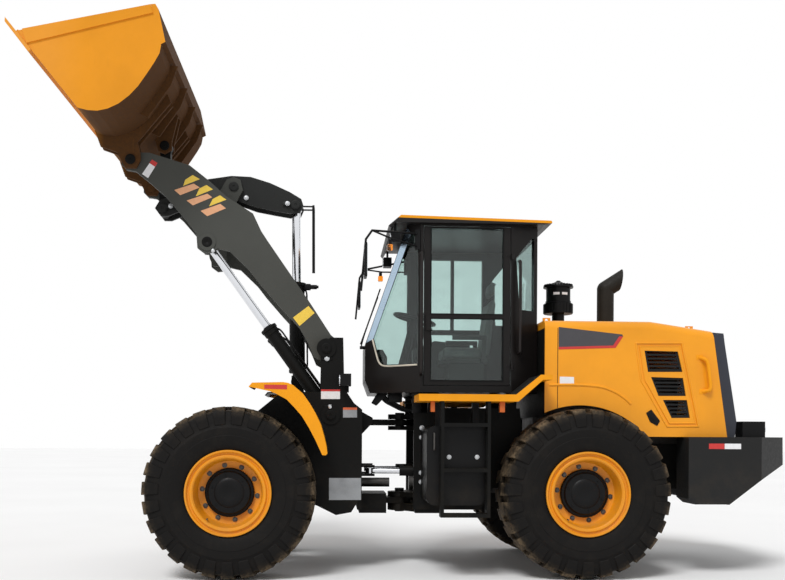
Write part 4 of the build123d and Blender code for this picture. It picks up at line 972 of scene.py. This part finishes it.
def makePad(name):
    # a swollen cushion: a rounded block remeshed, blown up by cloth and held within a cap
    lowCorner, highCorner, lean = seat[name]
    low, high = spot(*lowCorner), spot(*highCorner)
    shape = bmesh.new()
    addBox(shape, low, high, 0.02)
    pad = placed(name, asMesh(name, shape))
    pad.data.materials.append(seatCloth.material)
    remesh = pad.modifiers.new("remesh", "REMESH")
    remesh.mode, remesh.voxel_size = "VOXEL", seat["voxel"]
    settle(pad)
    start = [vert.co.copy() for vert in pad.data.vertices]
    cloth = pad.modifiers.new("cloth", "CLOTH")
    cloth.settings.use_pressure = True
    cloth.settings.uniform_pressure_force = seat["pressure"]
    cloth.settings.effector_weights.gravity = 0
    for number in range(1, seat["steps"] + 1):
        bpy.context.scene.frame_set(number)
    settle(pad)
    bpy.context.scene.frame_set(1)
    for vert, old in zip(pad.data.vertices, start):
        move = vert.co - old
        if move.length > seat["cap"]:
            vert.co = old + move.normalized() * seat["cap"]
        vert.co.x += lean * (vert.co.z - low.z)
    pad.data.polygons.foreach_set("use_smooth", [True] * len(pad.data.polygons))
    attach(pad, "rear_machine")
    return pad


def settle(piece):  # the piece keeps what its modifiers make
    graph = bpy.context.evaluated_depsgraph_get()
    graph.update()
    mesh = bpy.data.meshes.new_from_object(piece.evaluated_get(graph))
    piece.modifiers.clear()
    piece.data = mesh


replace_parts(makePad("seatCushion"), "seat_cushions")
makePad("seatBack")
makePad("seatHead")
print("seat made")

# stage, light and camera

light = {"world": 0.5, "sun": 2.0, "sunAngle": 20, "from": (0.35, 0.75, 1.0), "floor": 60}
stage = bmesh.new()
bmesh.ops.create_grid(stage, x_segments=1, y_segments=1, size=light["floor"])
floor = placed("floor", asMesh("floor", stage))
floorFinish = Finish("floorFinish", Roughness=0.9)
floorFinish.set("Base Color", floorFinish.mix(floorFinish.spread(floorFinish.noise(0.4)),
                                              tone(246, 246, 246), tone(250, 250, 250)))
floor.data.materials.append(floorFinish.material)

world = bpy.data.worlds.new("studio")
bpy.context.scene.world = world
world.use_nodes = True
tree = world.node_tree
background = tree.nodes["Background"]
path = tree.nodes.new("ShaderNodeLightPath")
seen, clear = (tree.nodes.new("ShaderNodeMath") for i in range(2))  # plain white behind, in gloss and in glass
seen.operation = clear.operation = "MAXIMUM"
for ray, socket in (("Is Camera Ray", seen.inputs[0]), ("Is Glossy Ray", clear.inputs[0]),
                    ("Is Transmission Ray", clear.inputs[1])):
    tree.links.new(path.outputs[ray], socket)
tree.links.new(clear.outputs[0], seen.inputs[1])
level = tree.nodes.new("ShaderNodeMapRange")
level.inputs["To Min"].default_value = light["world"]
tree.links.new(seen.outputs[0], level.inputs["Value"])
tree.links.new(level.outputs[0], background.inputs["Strength"])
background.inputs["Color"].default_value = (1, 1, 1, 1)
sun = bpy.data.lights.new("sun", "SUN")
sun.energy, sun.angle = light["sun"], math.radians(light["sunAngle"])
placed("sun", sun).rotation_euler = Vector(light["from"]).to_track_quat("Z", "Y").to_euler()

shot = {"place": (0.7203, 9.2726, 1.2714), "yaw": -0.04612, "roll": 0.00588, "focal": 948.86,
        "centre": (378.08, 432.54), "size": (785, 580), "sensor": 36}
wide, high = shot["size"]
camera = bpy.data.cameras.new("camera")
camera.sensor_width = shot["sensor"]
camera.lens = shot["focal"] * shot["sensor"] / wide
camera.shift_x = (wide / 2 - shot["centre"][0]) / wide
camera.shift_y = (shot["centre"][1] - high / 2) / wide
camera.clip_end = 300
look = Vector((math.sin(shot["yaw"]), -math.cos(shot["yaw"]), 0))
right = look.cross(up)
across = right * math.cos(shot["roll"]) + up * math.sin(shot["roll"])
rise = up * math.cos(shot["roll"]) - right * math.sin(shot["roll"])
matrix = Matrix((across, rise, -look)).transposed().to_4x4()
matrix.translation = Vector(shot["place"])
cameraHolder = placed("camera", camera)
cameraHolder.matrix_world = matrix
bpy.context.scene.camera = cameraHolder
bpy.context.scene.view_settings.view_transform = "Standard"
